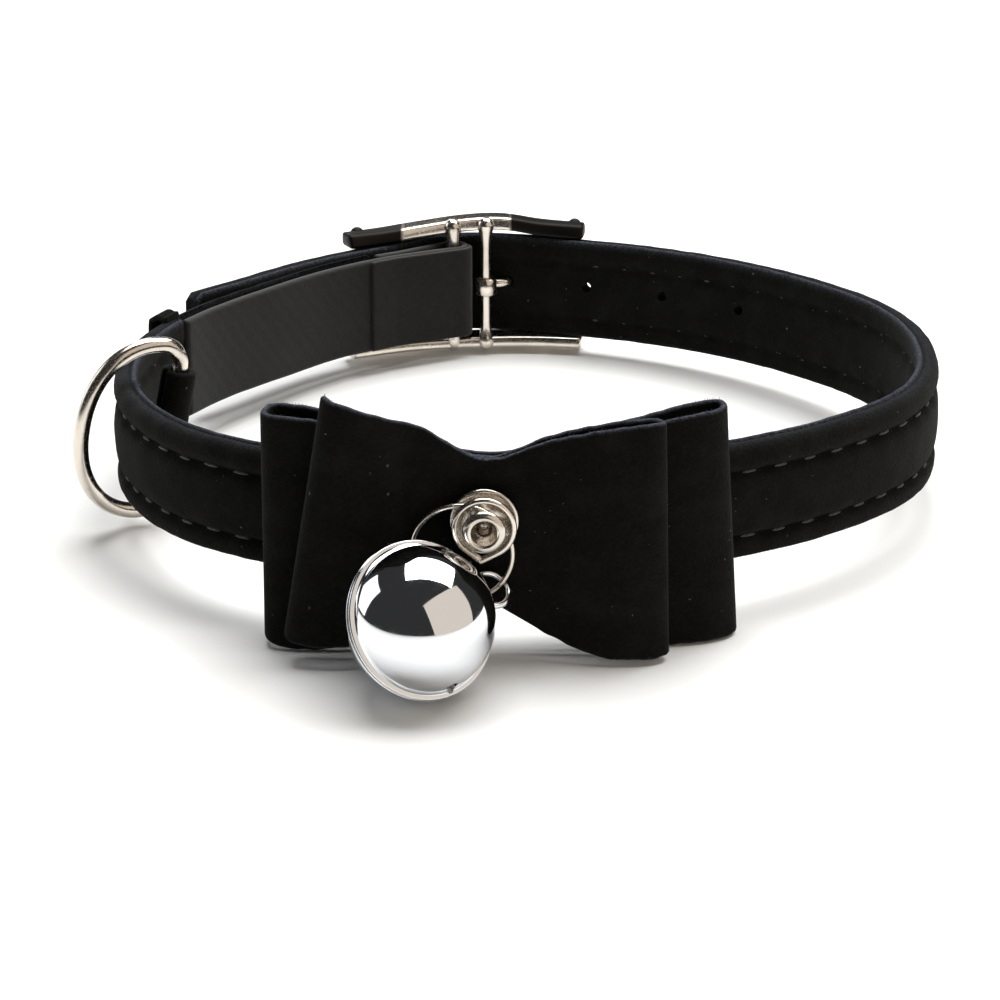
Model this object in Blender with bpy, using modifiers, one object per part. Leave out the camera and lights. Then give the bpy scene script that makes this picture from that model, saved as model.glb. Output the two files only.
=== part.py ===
"""Velvet bow collar with a bell, lying on its edge as a closed loop.

Metres, +Z up. The bow faces -Y, the D-ring is at -X and the buckle at +Y.
The origin is on the surface it lies on, under the middle of its outer box.
"""
import math

import bmesh
import bpy
from mathutils import Matrix, Vector

MM = 0.001
TURN = 2.0 * math.pi
MERGE = 0.00001
CUT_OVER = 1.0 * MM

# The loop's centre from the origin, so that the box is centred
LOOP_SHIFT = Vector((1.1 * MM, 7.6 * MM, 0.0))

# The band lies on its edge, its front a little raised by the bow
BAND_MID = 12.8 * MM
BAND_TILT = math.radians(2.46)
BAND_WIDTH = 15.0 * MM
FACE = 1.5 * MM
PLY = 1.2 * MM
GAP = 0.3 * MM

# Plan of the band's centre line: angle in degrees from +X, distance in mm.
# It starts under the buckle, goes once round and ends outside its own start.
PLAN = (
    (96, 55.6), (108, 53.4), (120, 50.9), (140, 48.0), (160, 49.1), (180, 51.8),
    (200, 54.7), (220, 55.8), (240, 54.1), (260, 52.4), (280, 50.8), (300, 50.0),
    (320, 51.8), (340, 54.6), (360, 55.0), (380, 55.1), (400, 54.1), (420, 54.5),
    (440, 56.3), (450, 58.8), (460, 60.3), (470, 57.0), (480, 54.8), (500, 52.4),
    (514, 53.8),
)
STRAP_START = 115.5
STRAP_END = 512.0
STATION = 5.0
SEAT_CORNER = 0.01 * MM
SEAT_SLACK = 0.6

# Outline of the strap's section: distance outwards and height, both in mm.
# Two shallow stitch channels leave three soft ribs on the outer face.
STRAP_RIBS = (
    (0.95, -7.5), (1.4, -7.1), (1.5, -5.6), (1.15, -4.7), (1.5, -3.7), (1.5, 2.9),
    (1.15, 3.8), (1.5, 4.8), (1.4, 7.1), (0.95, 7.5), (-1.0, 7.5), (-1.5, 7.0),
    (-1.5, -7.0), (-1.0, -7.5),
)

# Punched holes of the free end, as angles on the plan
HOLES = (412.0, 426.4, 439.3, 462.8)
HOLE_RADIUS = 1.0 * MM
HOLE_LIFT = 0.5 * MM

# Grey lining, folded round the strap bar
LINING_END = 165.0
LINING_SEAM = 114.4
LINING_HALF = 7.1 * MM
LINING_OFFSET = 0.9 * MM
LINING_CORNER = 0.35 * MM
LINING_FOLD = (-72.0, 104.0, 22.0)
LINING_INNER_END = 112.0
LINING_OUTER_START = 109.5

# Buckle: upright bars in plan and their upper ends, and the two rails, which
# bow outwards with the strap, the upper one upwards too, all in mm
STRAP_BAR = Vector((-10.4, 54.8)) * MM
STRAP_BAR_RADIUS = 1.1 * MM
STRAP_BAR_TOP = 9.7 * MM
PRONG_BAR = Vector((-5.4, 55.3)) * MM
PRONG_BAR_RADIUS = 0.8 * MM
PRONG_BAR_TOP = 9.8 * MM
KEEPER_BAR = Vector((-24.9, 53.2)) * MM
KEEPER_BAR_TOP = 9.0 * MM
REST_BAR = Vector((8.2, 59.1)) * MM
REST_BAR_TOP = 8.9 * MM
END_BAR_RADIUS = 1.1 * MM
BAR_SIDES = 12
RAIL_PATH = ((-26.0, 50.7, 8.65), (-21.0, 53.3, 8.7), (-16.0, 55.3, 9.1), (-9.0, 56.9, 9.8),
             (-3.0, 57.6, 9.9), (3.0, 57.6, 9.0), (9.2, 56.8, 8.65))
RAIL_DEPTH = 4.0 * MM
RAIL_TALL = 2.1 * MM
RAIL_CORNER = 0.5 * MM
RAIL_STATIONS = 14
LOW_RAIL_MID = -8.5 * MM
LOW_RAIL_TALL = 1.9 * MM
LOW_RAIL_DEPTH = 5.0 * MM
LOW_RAIL_IN = 0.5 * MM
FOOT_TALL = 2.4 * MM
FOOT_LOW = -7.5 * MM
FOOT_HIGH = 8.8 * MM
FOOT_FLARE = 1.7

# Tongue of the buckle, in plan and in mm, from its bar through the strap
TONGUE = ((-5.2, 57.0), (-3.4, 57.0), (-2.2, 57.6), (-1.2, 59.2), (0.1, 60.6), (2.0, 61.2),
          (5.0, 61.2), (8.0, 61.2), (10.6, 60.9))
TONGUE_RADIUS = 0.7 * MM
TONGUE_HEIGHT = 0.3 * MM
TONGUE_STATIONS = 16
SLEEVE_CLEAR = 0.2 * MM
SLEEVE_WALL = 0.7 * MM
SLEEVE_HALF = 1.3 * MM

# Velvet keeper past the strap's tip: angles, and outline in mm
KEEPER_START = 164.5
KEEPER_END = 169.0
KEEPER_WALL = 0.7 * MM
KEEPER_OUT = 2.7 * MM
KEEPER_RISE = 8.1 * MM
KEEPER_CORNER = 0.8 * MM
KEEPER_STATION = 3.2
KEEPER_SEAT_OVER = 0.5

# D-ring: its bar inside the band, its wire, and the velvet fold that holds it
RING_BAR = Vector((-46.7, -14.3, 13.4)) * MM
RING_HEADING = math.radians(210.0)
RING_LEAN = math.radians(-10.5)
RING_ROLL = math.radians(-4.0)
RING_REACH = 12.6 * MM
RING_HALF = 11.8 * MM
RING_CORNER = 3.0 * MM
RING_POWER = 2.15
RING_WIRE = 1.05 * MM
CORNER_STEPS = 4
BOW_OF_D_STEPS = 8
TAB_HALF = 8.4 * MM
TAB_WALL = 1.0 * MM
TAB_SLACK = 0.25 * MM
TAB_TURN = (10.0, 350.0, 20.0)

# Bow loops: plan and height of the cloth's middle, in mm, at its lower and
# its upper edge, once round from the left fold along the front
BOW_WALL = 1.0 * MM
BOW_BACK = (
    # x low, x high, y low, y high, z low, z high
    (-31.0, -30.8, -53.8, -53.4, 1.2, 30.4),
    (-29.6, -29.4, -55.8, -55.4, 0.1, 30.5),
    (-24.0, -23.8, -56.2, -55.8, -0.3, 29.9),
    (-15.0, -14.6, -55.8, -55.4, 2.0, 28.2),
    (-4.3, -4.3, -55.65, -55.15, 7.6, 25.3),
    (6.0, 6.0, -55.6, -55.2, 3.6, 27.4),
    (15.0, 14.6, -54.9, -54.3, 0.4, 29.0),
    (22.6, 21.4, -53.6, -52.8, -0.3, 29.8),
    (26.2, 24.4, -51.2, -50.4, -0.1, 29.9),
    (25.4, 23.6, -48.6, -48.0, 0.6, 29.9),
    (19.5, 18.6, -50.2, -49.6, 0.4, 29.5),
    (8.0, 8.0, -53.6, -53.2, 2.4, 27.8),
    (-4.3, -4.3, -54.4, -53.9, 7.6, 25.3),
    (-16.0, -15.6, -54.1, -53.7, 1.9, 28.3),
    (-25.0, -24.8, -51.9, -51.6, 0.4, 30.0),
    (-29.6, -29.4, -51.4, -51.0, 0.8, 30.4),
)
BOW_FRONT = (
    (-28.2, -23.1, -59.4, -59.0, 3.6, 34.2),
    (-26.8, -22.0, -61.0, -60.8, 3.0, 34.1),
    (-20.5, -17.0, -61.4, -61.0, 3.0, 32.5),
    (-13.4, -12.0, -58.5, -58.3, 5.2, 30.2),
    (-4.3, -4.3, -58.15, -57.65, 7.3, 25.9),
    (3.2, 3.4, -59.0, -58.8, 3.7, 28.6),
    (9.6, 9.6, -60.2, -59.8, 1.2, 30.2),
    (15.4, 14.8, -60.0, -59.5, 0.8, 30.9),
    (17.7, 16.9, -58.4, -58.0, 0.7, 30.8),
    (15.6, 15.0, -57.0, -56.6, 0.7, 30.6),
    (9.6, 9.4, -57.2, -56.8, 1.2, 29.9),
    (3.0, 3.2, -57.0, -56.7, 3.7, 28.4),
    (-4.3, -4.3, -56.9, -56.4, 7.3, 25.7),
    (-13.4, -11.9, -57.2, -57.0, 5.2, 29.5),
    (-20.5, -17.2, -58.4, -58.2, 3.2, 31.2),
    (-26.6, -21.8, -58.3, -57.9, 3.2, 32.7),
)
BOW_STEPS = 52
BOW_BANDS = 3
FLOOR_SIZE = (0.1, 0.1, 0.01)

# Rivet through band and bow, with its profile as radius and distance in
# front of the bow, in mm
RIVET_X = -4.3 * MM
RIVET_Z = 18.5 * MM
RIVET_FACE = -58.65 * MM
RIVET_HOLE = 1.5 * MM
RIVET_HOLE_DEPTH = 16.0 * MM
RIVET_HOLE_MID = 4.0 * MM
RIVET_PROFILE = (
    (0.0, 1.6), (0.6, 1.7), (0.65, 3.4), (1.4, 4.5), (1.6, 4.85), (2.0, 4.9), (2.65, 4.5),
    (2.6, 4.0),
    (1.7, 3.7), (1.1, 3.5), (1.0, 1.1), (2.4, 0.7), (3.6, 1.0), (4.1, 0.85), (4.0, 0.45),
    (3.0, 0.1), (1.2, 0.0), (1.2, -9.2), (3.0, -9.2), (3.0, -9.6), (2.4, -9.9), (0.0, -10.0),
)
ROUND_SIDES = 24

# Pear-shaped bail on the rivet's neck
BAIL_Y = -61.7 * MM
BAIL_RING = 3.5 * MM
BAIL_WIRE = 0.4 * MM
BAIL_POINT = 4.15 * MM
BAIL_SPIN = math.radians(5.0)
BAIL_ARC = (-50.0, 230.0, 23.4)

# Thin jump ring: over the neck, behind the bell and through its loop
JUMP_TOP = Vector((-3.5, -60.55, 19.7)) * MM
JUMP_LEFT = Vector((-11.25, -59.5, 10.5)) * MM
JUMP_EYE = Vector((-2.65, -60.35, 10.5)) * MM
JUMP_WIRE = 0.33 * MM
JUMP_STEPS = 24

# Bell: two stamped halves with a rim, a wire loop and crossed slits
BELL_MID = Vector((-11.7, -68.85, 9.75)) * MM
BELL_RADIUS = 8.9 * MM
BELL_WALL = 0.4 * MM
BELL_RIM = 0.7 * MM
BELL_RIM_TALL = 0.35 * MM
BELL_SEAM = 0.15 * MM
BELL_SIDES = 28
BELL_SMOOTH = 30.0
BELL_STEPS = 9
BELL_FACING = Vector((0.487, -0.712, 0.507)).normalized()
BELL_LOOP_RADIUS = 2.3 * MM
BELL_LOOP_WIRE = 0.4 * MM
BELL_LOOP_GAP = 0.05 * MM
BELL_LOOP_STEPS = 16
BELL_MOUTH = Vector((0.30, -0.10, -0.95)).normalized()
SLIT_END = Vector((0.43, -0.58, -0.70)).normalized()
SLIT_WIDTH = 0.9 * MM
SLIT_HOLE = 0.75 * MM
SLIT_STEPS = 8
PEA_RADIUS = 2.0 * MM

# Colours as red, green, blue, then roughness and metallic
VELVET = ((0.006, 0.006, 0.005), 0.95, 0.0)
LINING_CLOTH = ((0.023, 0.023, 0.021), 0.9, 0.0)
NICKEL = ((0.66, 0.63, 0.58), 0.22, 1.0)
CHROME = ((0.80, 0.81, 0.83), 0.08, 1.0)


def clear_scene():
    """Remove what the file starts with."""
    for item in list(bpy.data.objects):
        bpy.data.objects.remove(item, do_unlink=True)


def collection(name):
    """Make a collection and link it to the scene."""
    made = bpy.data.collections.new(name)
    bpy.context.scene.collection.children.link(made)
    return made


clear_scene()
PARTS = collection("bow_collar")
CUTTERS = collection("cutters")


def material(name, finish):
    """A Principled material of one colour."""
    made = bpy.data.materials.new(name)
    made.use_nodes = True
    shader = made.node_tree.nodes["Principled BSDF"]
    colour, roughness, metallic = finish
    shader.inputs["Base Color"].default_value = (*colour, 1.0)
    shader.inputs["Roughness"].default_value = roughness
    shader.inputs["Metallic"].default_value = metallic
    return made


def empty(name, parent=None, location=(0.0, 0.0, 0.0), rotation=(0.0, 0.0, 0.0)):
    """A frame that pieces are parented to."""
    made = bpy.data.objects.new(name, None)
    PARTS.objects.link(made)
    made.location = location
    made.rotation_euler = rotation
    made.parent = parent
    return made


LOOP = empty("loop_frame", None, LOOP_SHIFT)
BAND = empty("band_frame", LOOP, (0.0, 0.0, BAND_MID), (-BAND_TILT, 0.0, 0.0))


def add_mesh(name, shape, parent, group=PARTS):
    """Turn a bmesh into an object under a frame."""
    mesh = bpy.data.meshes.new(name)
    shape.to_mesh(mesh)
    shape.free()
    made = bpy.data.objects.new(name, mesh)
    group.objects.link(made)
    made.parent = parent
    return made


def finish_piece(piece, look, smooth_deg=40.0):
    """Give a piece its own material and its shading."""
    piece.data.materials.clear()
    piece.data.materials.append(material(piece.name, look))
    piece.data.shade_smooth()
    piece.data.set_sharp_from_angle(angle=math.radians(smooth_deg))


def hermite(table, at, column=1):
    """Read a smooth curve through a table's rows at a value of its first column."""
    last = len(table) - 1
    low = 0
    while low < last - 1 and table[low + 1][0] < at:
        low += 1
    before = table[max(low - 1, 0)]
    start = table[low]
    end = table[low + 1]
    after = table[min(low + 2, last)]
    span = end[0] - start[0]
    share = (at - start[0]) / span
    slope_in = (end[column] - before[column]) / (end[0] - before[0]) * span
    slope_out = (after[column] - start[column]) / (after[0] - start[0]) * span
    square = share * share
    cube = square * share
    return ((2 * cube - 3 * square + 1) * start[column] + (cube - 2 * square + share) * slope_in
            + (3 * square - 2 * cube) * end[column] + (cube - square) * slope_out)


def plan_point(angle_deg, offset=0.0):
    """A point of the band's plan, moved outwards by offset."""
    def centre(degrees):
        reach = hermite(PLAN, degrees) * MM
        turn = math.radians(degrees)
        return Vector((reach * math.cos(turn), reach * math.sin(turn)))

    step = 0.5
    run = centre(angle_deg + step) - centre(angle_deg - step)
    outwards = Vector((run.y, -run.x)).normalized()
    return centre(angle_deg) + outwards * offset


def plan_frame(angle_deg, offset=0.0):
    """A frame on the band: X outwards, Y along the band, Z up."""
    middle = plan_point(angle_deg, offset)
    ahead = plan_point(angle_deg, offset + 1.0) - middle
    turn = math.atan2(ahead.y, ahead.x)
    return Matrix.Translation((middle.x, middle.y, 0.0)) @ Matrix.Rotation(turn, 4, "Z")


def spread(start, end, step):
    """Even values from start to end, about a step apart."""
    count = max(1, round(abs(end - start) / step))
    return [start + (end - start) * index / count for index in range(count + 1)]


def smooth_path(points, count):
    """Even parameters on a smooth open curve through a few points."""
    rows = [(index, *point) for index, point in enumerate(points)]
    width = len(points[0])
    values = spread(0, len(points) - 1, (len(points) - 1) / count)
    return [tuple(hermite(rows, at, column + 1) for column in range(width)) for at in values]


def curve_data(name, points, cyclic):
    """A curve of straight pieces through points."""
    data = bpy.data.curves.new(name, "CURVE")
    data.dimensions = "3D"
    line = data.splines.new("POLY")
    line.points.add(len(points) - 1)
    for spot, point in zip(line.points, points):
        height = point[2] if len(point) > 2 else 0.0
        spot.co = (point[0], point[1], height, 1.0)
    line.use_cyclic_u = cyclic
    return data


def curve_to_piece(name, guide, parent, group):
    """Make a mesh object of an evaluated curve and remove the curve."""
    bpy.context.view_layer.update()
    graph = bpy.context.evaluated_depsgraph_get()
    mesh = bpy.data.meshes.new_from_object(guide.evaluated_get(graph))
    shape = bmesh.new()
    shape.from_mesh(mesh)
    bmesh.ops.remove_doubles(shape, verts=shape.verts, dist=MERGE)
    bmesh.ops.recalc_face_normals(shape, faces=shape.faces)
    data = guide.data
    bpy.data.objects.remove(guide)
    bpy.data.curves.remove(data)
    bpy.data.meshes.remove(mesh)
    return add_mesh(name, shape, parent, group)


def wire(name, points, radius, parent, cyclic=False, sides=2, group=PARTS):
    """A round wire along points."""
    data = curve_data(name, points, cyclic)
    data.bevel_depth = radius
    data.bevel_resolution = sides
    data.use_fill_caps = not cyclic
    guide = bpy.data.objects.new(name, data)
    group.objects.link(guide)
    return curve_to_piece(name, guide, parent, group)


def sweep(name, points, outline, parent, group=PARTS):
    """A strip along points in plan; the outline is outwards and height."""
    section = bpy.data.objects.new(name + "_section", curve_data(name, outline, True))
    section.data.dimensions = "2D"
    CUTTERS.objects.link(section)
    data = curve_data(name, points, False)
    data.twist_mode = "Z_UP"
    data.bevel_mode = "OBJECT"
    data.bevel_object = section
    data.use_fill_caps = True
    guide = bpy.data.objects.new(name, data)
    group.objects.link(guide)
    piece = curve_to_piece(name, guide, parent, group)
    section_data = section.data
    bpy.data.objects.remove(section)
    bpy.data.curves.remove(section_data)
    return piece


def box_outline(inner, outer, low, high, round_by=0.3 * MM):
    """A rectangle with cut corners, as outwards and height."""
    return ((outer - round_by, low), (outer, low + round_by), (outer, high - round_by),
            (outer - round_by, high), (inner + round_by, high), (inner, high - round_by),
            (inner, low + round_by), (inner + round_by, low))


def cut(piece, cutter, operation="DIFFERENCE"):
    """Cut or join a piece with another mesh."""
    cutter.hide_render = True
    cutter.display_type = "WIRE"
    change = piece.modifiers.new(operation.lower(), "BOOLEAN")
    change.operation = operation
    change.object = cutter
    change.solver = "EXACT"


def join(name, piece, others):
    """Fuse pieces that overlap into one mesh object and remove the others."""
    for other in others:
        cut(piece, other, "UNION")
    bpy.context.view_layer.update()
    graph = bpy.context.evaluated_depsgraph_get()
    mesh = bpy.data.meshes.new_from_object(piece.evaluated_get(graph))
    piece.modifiers.clear()
    old = piece.data
    piece.data = mesh
    bpy.data.meshes.remove(old)
    mesh.name = name
    piece.name = name
    for other in others:
        bpy.data.objects.remove(other)
    return piece


def cylinder(name, radius, depth, place, parent, sides=ROUND_SIDES, group=PARTS):
    """A closed cylinder along its own Z."""
    shape = bmesh.new()
    bmesh.ops.create_cone(shape, cap_ends=True, segments=sides, radius1=radius,
                          radius2=radius, depth=depth, matrix=place)
    return add_mesh(name, shape, parent, group)


def block(name, size, place, parent, group=CUTTERS):
    """A closed box."""
    shape = bmesh.new()
    bmesh.ops.create_cube(shape, size=1.0, matrix=place @ Matrix.Diagonal((*size, 1.0)))
    return add_mesh(name, shape, parent, group)


def turned(name, profile, place, parent, sides=ROUND_SIDES):
    """Turn a profile of radius and height, closed or from axis to axis, about its Z."""
    shape = bmesh.new()
    spots = [shape.verts.new((radius, 0.0, height)) for radius, height in profile]
    on_axis = profile[0][0] == 0.0 and profile[-1][0] == 0.0
    follow = spots[1:] if on_axis else spots[1:] + spots[:1]
    edges = [shape.edges.new((one, two)) for one, two in zip(spots, follow)]
    bmesh.ops.spin(shape, geom=spots + edges, cent=(0, 0, 0), axis=(0, 0, 1), dvec=(0, 0, 0),
                   angle=TURN, steps=sides, use_merge=True, use_duplicate=False)
    bmesh.ops.remove_doubles(shape, verts=shape.verts, dist=MERGE)
    bmesh.ops.dissolve_degenerate(shape, dist=MERGE, edges=shape.edges)
    bmesh.ops.recalc_face_normals(shape, faces=shape.faces)
    bmesh.ops.transform(shape, matrix=place, verts=shape.verts)
    return add_mesh(name, shape, parent)


def aimed(direction, at, spin=0.0):
    """A placement whose Z points along a direction."""
    turn = direction.to_track_quat("Z", "Y").to_matrix().to_4x4()
    return Matrix.Translation(at) @ turn @ Matrix.Rotation(spin, 4, "Z")


def tongue_path():
    """The tongue's middle line, from its bar through the strap to the rest bar."""
    points = smooth_path(TONGUE, TONGUE_STATIONS)
    return [(point[0] * MM, point[1] * MM, TONGUE_HEIGHT) for point in points]


def make_strap():
    """The velvet band with its stitch channels, lining seat and holes."""
    path = [plan_point(at) for at in spread(STRAP_START, STRAP_END, STATION)]
    outline = [(out * MM, height * MM) for out, height in STRAP_RIBS]
    strap = sweep("strap", path, outline, BAND)

    seat_path = [plan_point(at) for at in spread(STRAP_START - STATION, LINING_END + SEAT_SLACK, STATION)]
    seat = box_outline(-FACE - CUT_OVER, 0.0, -BAND_WIDTH, BAND_WIDTH, SEAT_CORNER)
    cut(strap, sweep("lining_seat", seat_path, seat, BAND, CUTTERS))

    keeper_path = [plan_point(at) for at in
                   spread(KEEPER_START - KEEPER_SEAT_OVER, KEEPER_END + KEEPER_SEAT_OVER,
                          KEEPER_STATION / 2)]
    keeper_seat = box_outline(-GAP, KEEPER_WALL + GAP, -BAND_WIDTH, BAND_WIDTH, SEAT_CORNER)
    cut(strap, sweep("keeper_seat", keeper_path, keeper_seat, BAND, CUTTERS))

    across = Matrix.Rotation(math.pi / 2, 4, "Y")
    for number, angle in enumerate(HOLES):
        place = plan_frame(angle) @ Matrix.Translation((0, 0, HOLE_LIFT)) @ across
        cut(strap, cylinder(f"hole_{number + 1}", HOLE_RADIUS, 4 * FACE, place, BAND, BAR_SIDES,
                            CUTTERS))

    slot = wire("tongue_hole", tongue_path(), TONGUE_RADIUS + GAP, BAND, group=CUTTERS)
    cut(strap, slot)
    cut(strap, rivet_hole("strap_rivet_hole"))
    finish_piece(strap, VELVET)


def rivet_hole(name):
    """The hole that the rivet's shank goes through."""
    middle = Vector((RIVET_X, RIVET_FACE + RIVET_HOLE_MID, RIVET_Z))
    place = aimed(Vector((0, -1, 0)), middle)
    return cylinder(name, RIVET_HOLE, RIVET_HOLE_DEPTH, place, LOOP, BAR_SIDES, CUTTERS)


def make_lining():
    """The grey strip inside the back left, round the strap bar and back."""
    inner = [plan_point(at, -LINING_OFFSET) for at in spread(LINING_END, LINING_INNER_END, STATION)]
    turn_radius = STRAP_BAR_RADIUS + SLEEVE_CLEAR + PLY / 2
    fold = []
    for degrees in spread(*LINING_FOLD):
        turn = math.radians(degrees)
        fold.append(STRAP_BAR + Vector((math.cos(turn), math.sin(turn))) * turn_radius)
    outer = [plan_point(at, LINING_OFFSET) for at in spread(LINING_OUTER_START, LINING_SEAM, STATION / 2)]
    outline = box_outline(-PLY / 2, PLY / 2, -LINING_HALF, LINING_HALF, LINING_CORNER)
    lining = sweep("grey_lining", inner + fold + outer, outline, BAND)
    finish_piece(lining, LINING_CLOTH)


def make_buckle():
    """One cast frame: two bowed rails joined by four upright bars."""
    stations = smooth_path([(x * MM, y * MM, z * MM) for x, y, z in RAIL_PATH], RAIL_STATIONS)
    low = [(x, y - LOW_RAIL_IN, LOW_RAIL_MID) for x, y, z in stations]
    rows = (("rail_low", low, LOW_RAIL_DEPTH, LOW_RAIL_TALL),
            ("rail_high", stations, RAIL_DEPTH, RAIL_TALL))
    rails = []
    for name, path, depth, tall in rows:
        outline = box_outline(-depth / 2, depth / 2, -tall / 2, tall / 2, RAIL_CORNER)
        rails.append(sweep(name, path, outline, BAND))

    bars = []
    rows = (("keeper_bar", KEEPER_BAR, END_BAR_RADIUS, KEEPER_BAR_TOP),
            ("strap_bar", STRAP_BAR, STRAP_BAR_RADIUS, STRAP_BAR_TOP),
            ("prong_bar", PRONG_BAR, PRONG_BAR_RADIUS, PRONG_BAR_TOP),
            ("rest_bar", REST_BAR, END_BAR_RADIUS, REST_BAR_TOP))
    for name, spot, radius, top in rows:
        place = Matrix.Translation((spot.x, spot.y, (top + LOW_RAIL_MID) / 2))
        bars.append(cylinder(name, radius, top - LOW_RAIL_MID, place, BAND, BAR_SIDES))

    feet = []
    wide = FOOT_FLARE * PRONG_BAR_RADIUS
    rows = (("foot_low", FOOT_LOW, wide, PRONG_BAR_RADIUS),
            ("foot_high", FOOT_HIGH, PRONG_BAR_RADIUS, wide))
    for name, height, bottom, top in rows:
        shape = bmesh.new()
        place = Matrix.Translation((PRONG_BAR.x, PRONG_BAR.y, height))
        bmesh.ops.create_cone(shape, cap_ends=True, segments=BAR_SIDES, radius1=bottom,
                              radius2=top, depth=FOOT_TALL, matrix=place)
        feet.append(add_mesh(name, shape, BAND))

    frame = join("buckle_frame", rails[0], [rails[1]] + bars + feet)
    finish_piece(frame, NICKEL)


def make_prong():
    """The tongue, with its sleeve round the prong bar."""
    inside = PRONG_BAR_RADIUS + SLEEVE_CLEAR
    outside = inside + SLEEVE_WALL
    profile = ((outside, SLEEVE_HALF), (outside, -SLEEVE_HALF), (inside, -SLEEVE_HALF),
               (inside, SLEEVE_HALF))
    place = Matrix.Translation((PRONG_BAR.x, PRONG_BAR.y, TONGUE_HEIGHT))
    sleeve = turned("buckle_prong", profile, place, BAND, BAR_SIDES)
    tongue = wire("tongue", tongue_path(), TONGUE_RADIUS, BAND)
    prong = join("buckle_prong", sleeve, [tongue])
    finish_piece(prong, NICKEL)


def make_keeper():
    """The velvet loop beyond the strap's tip, sewn in behind the outer ply."""
    inner = KEEPER_WALL / 2
    outline = box_outline(inner, KEEPER_OUT, -KEEPER_RISE, KEEPER_RISE, KEEPER_CORNER)
    shape = bmesh.new()
    rings = []
    for angle in spread(KEEPER_START, KEEPER_END, KEEPER_STATION):
        frame = plan_frame(angle)
        ring = [shape.verts.new(frame @ Vector((out, 0.0, height))) for out, height in outline]
        for one, two in zip(ring, ring[1:] + ring[:1]):
            shape.edges.new((one, two))
        rings.append(ring)
    bmesh.ops.bridge_loops(shape, edges=shape.edges)
    bmesh.ops.recalc_face_normals(shape, faces=shape.faces)
    keeper = add_mesh("keeper_loop", shape, BAND)
    wall = keeper.modifiers.new("wall", "SOLIDIFY")
    wall.thickness = KEEPER_WALL
    wall.offset = 0.0
    wall.use_even_offset = True
    finish_piece(keeper, VELVET)


def ring_outline():
    """The D: a round corner, the bow of the D, a round corner and the bar."""
    upper = []
    for step in range(CORNER_STEPS):
        turn = math.pi / 2 * step / CORNER_STEPS
        upper.append((RING_CORNER * (1 - math.cos(turn)),
                      RING_HALF - RING_CORNER * (1 - math.sin(turn))))
    for step in range(BOW_OF_D_STEPS + 1):
        turn = math.pi / 2 * (1 - step / BOW_OF_D_STEPS)
        upper.append((RING_CORNER + (RING_REACH - RING_CORNER) * math.cos(turn) ** (2 / RING_POWER),
                      RING_HALF * math.sin(turn) ** (2 / RING_POWER)))
    upper[-1] = (RING_REACH, 0.0)
    lower = [(out, -rise) for out, rise in reversed(upper[:-1])]
    return [(out, 0.0, rise) for out, rise in upper + lower]


def make_ring():
    """The D-ring on its hinge, and the velvet fold round its bar."""
    hinge = empty("d_ring_hinge", LOOP, RING_BAR, (RING_ROLL, RING_LEAN, RING_HEADING))
    ring = wire("d_ring", ring_outline(), RING_WIRE, hinge, cyclic=True)
    finish_piece(ring, NICKEL)

    turn_radius = RING_WIRE + TAB_SLACK + TAB_WALL / 2
    points = []
    for degrees in spread(*TAB_TURN):
        turn = math.radians(degrees)
        points.append((turn_radius * math.cos(turn), turn_radius * math.sin(turn)))
    outline = box_outline(-TAB_WALL / 2, TAB_WALL / 2, -TAB_HALF, TAB_HALF)
    tab = sweep("d_ring_tab", points, outline, hinge)
    finish_piece(tab, VELVET)


def make_bow_loop(name, rows):
    """A closed strip of cloth that stands on its edge, pinched at the middle."""
    count = len(rows)
    wrapped = list(rows[-2:]) + list(rows) + list(rows[:3])
    table = [(index - 2, *row) for index, row in enumerate(wrapped)]
    shape = bmesh.new()
    for level in range(BOW_BANDS + 1):
        share = level / BOW_BANDS
        ring = []
        for step in range(BOW_STEPS):
            at = count * step / BOW_STEPS
            low_x, high_x, low_y, high_y, low_z, high_z = (
                hermite(table, at, column) * MM for column in range(1, 7))
            ring.append(shape.verts.new((low_x + (high_x - low_x) * share,
                                         low_y + (high_y - low_y) * share,
                                         low_z + (high_z - low_z) * share)))
        for one, two in zip(ring, ring[1:] + ring[:1]):
            shape.edges.new((one, two))
    bmesh.ops.bridge_loops(shape, edges=shape.edges)
    bmesh.ops.recalc_face_normals(shape, faces=shape.faces)
    bow = add_mesh(name, shape, LOOP)
    wall = bow.modifiers.new("wall", "SOLIDIFY")
    wall.thickness = BOW_WALL
    wall.offset = 0.0
    wall.use_even_offset = True
    cut(bow, rivet_hole(name + "_rivet_hole"))
    below = Matrix.Translation((0, RIVET_FACE, -FLOOR_SIZE[2] / 2))
    cut(bow, block(name + "_floor", FLOOR_SIZE, below, LOOP))
    finish_piece(bow, VELVET)


def make_rivet():
    """The turned rivet: inner head, shank, dished washer, neck and open head."""
    profile = [(radius * MM, height * MM) for radius, height in RIVET_PROFILE]
    place = aimed(Vector((0, -1, 0)), Vector((RIVET_X, RIVET_FACE, RIVET_Z)))
    rivet = turned("rivet", profile, place, LOOP)
    finish_piece(rivet, NICKEL)


def make_bail():
    """The pear-shaped wire bail that hangs round the rivet's neck."""
    points = []
    for degrees in spread(*BAIL_ARC):
        turn = math.radians(degrees)
        points.append((BAIL_RING * math.cos(turn), 0.0, BAIL_RING * math.sin(turn)))
    points.append((0.0, 0.0, -BAIL_POINT))
    place = (Matrix.Translation((RIVET_X, BAIL_Y, RIVET_Z))
             @ Matrix.Rotation(BAIL_SPIN, 4, "Y"))
    bail = wire("bail", [place @ Vector(point) for point in points], BAIL_WIRE, LOOP, cyclic=True)
    finish_piece(bail, NICKEL)


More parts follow.
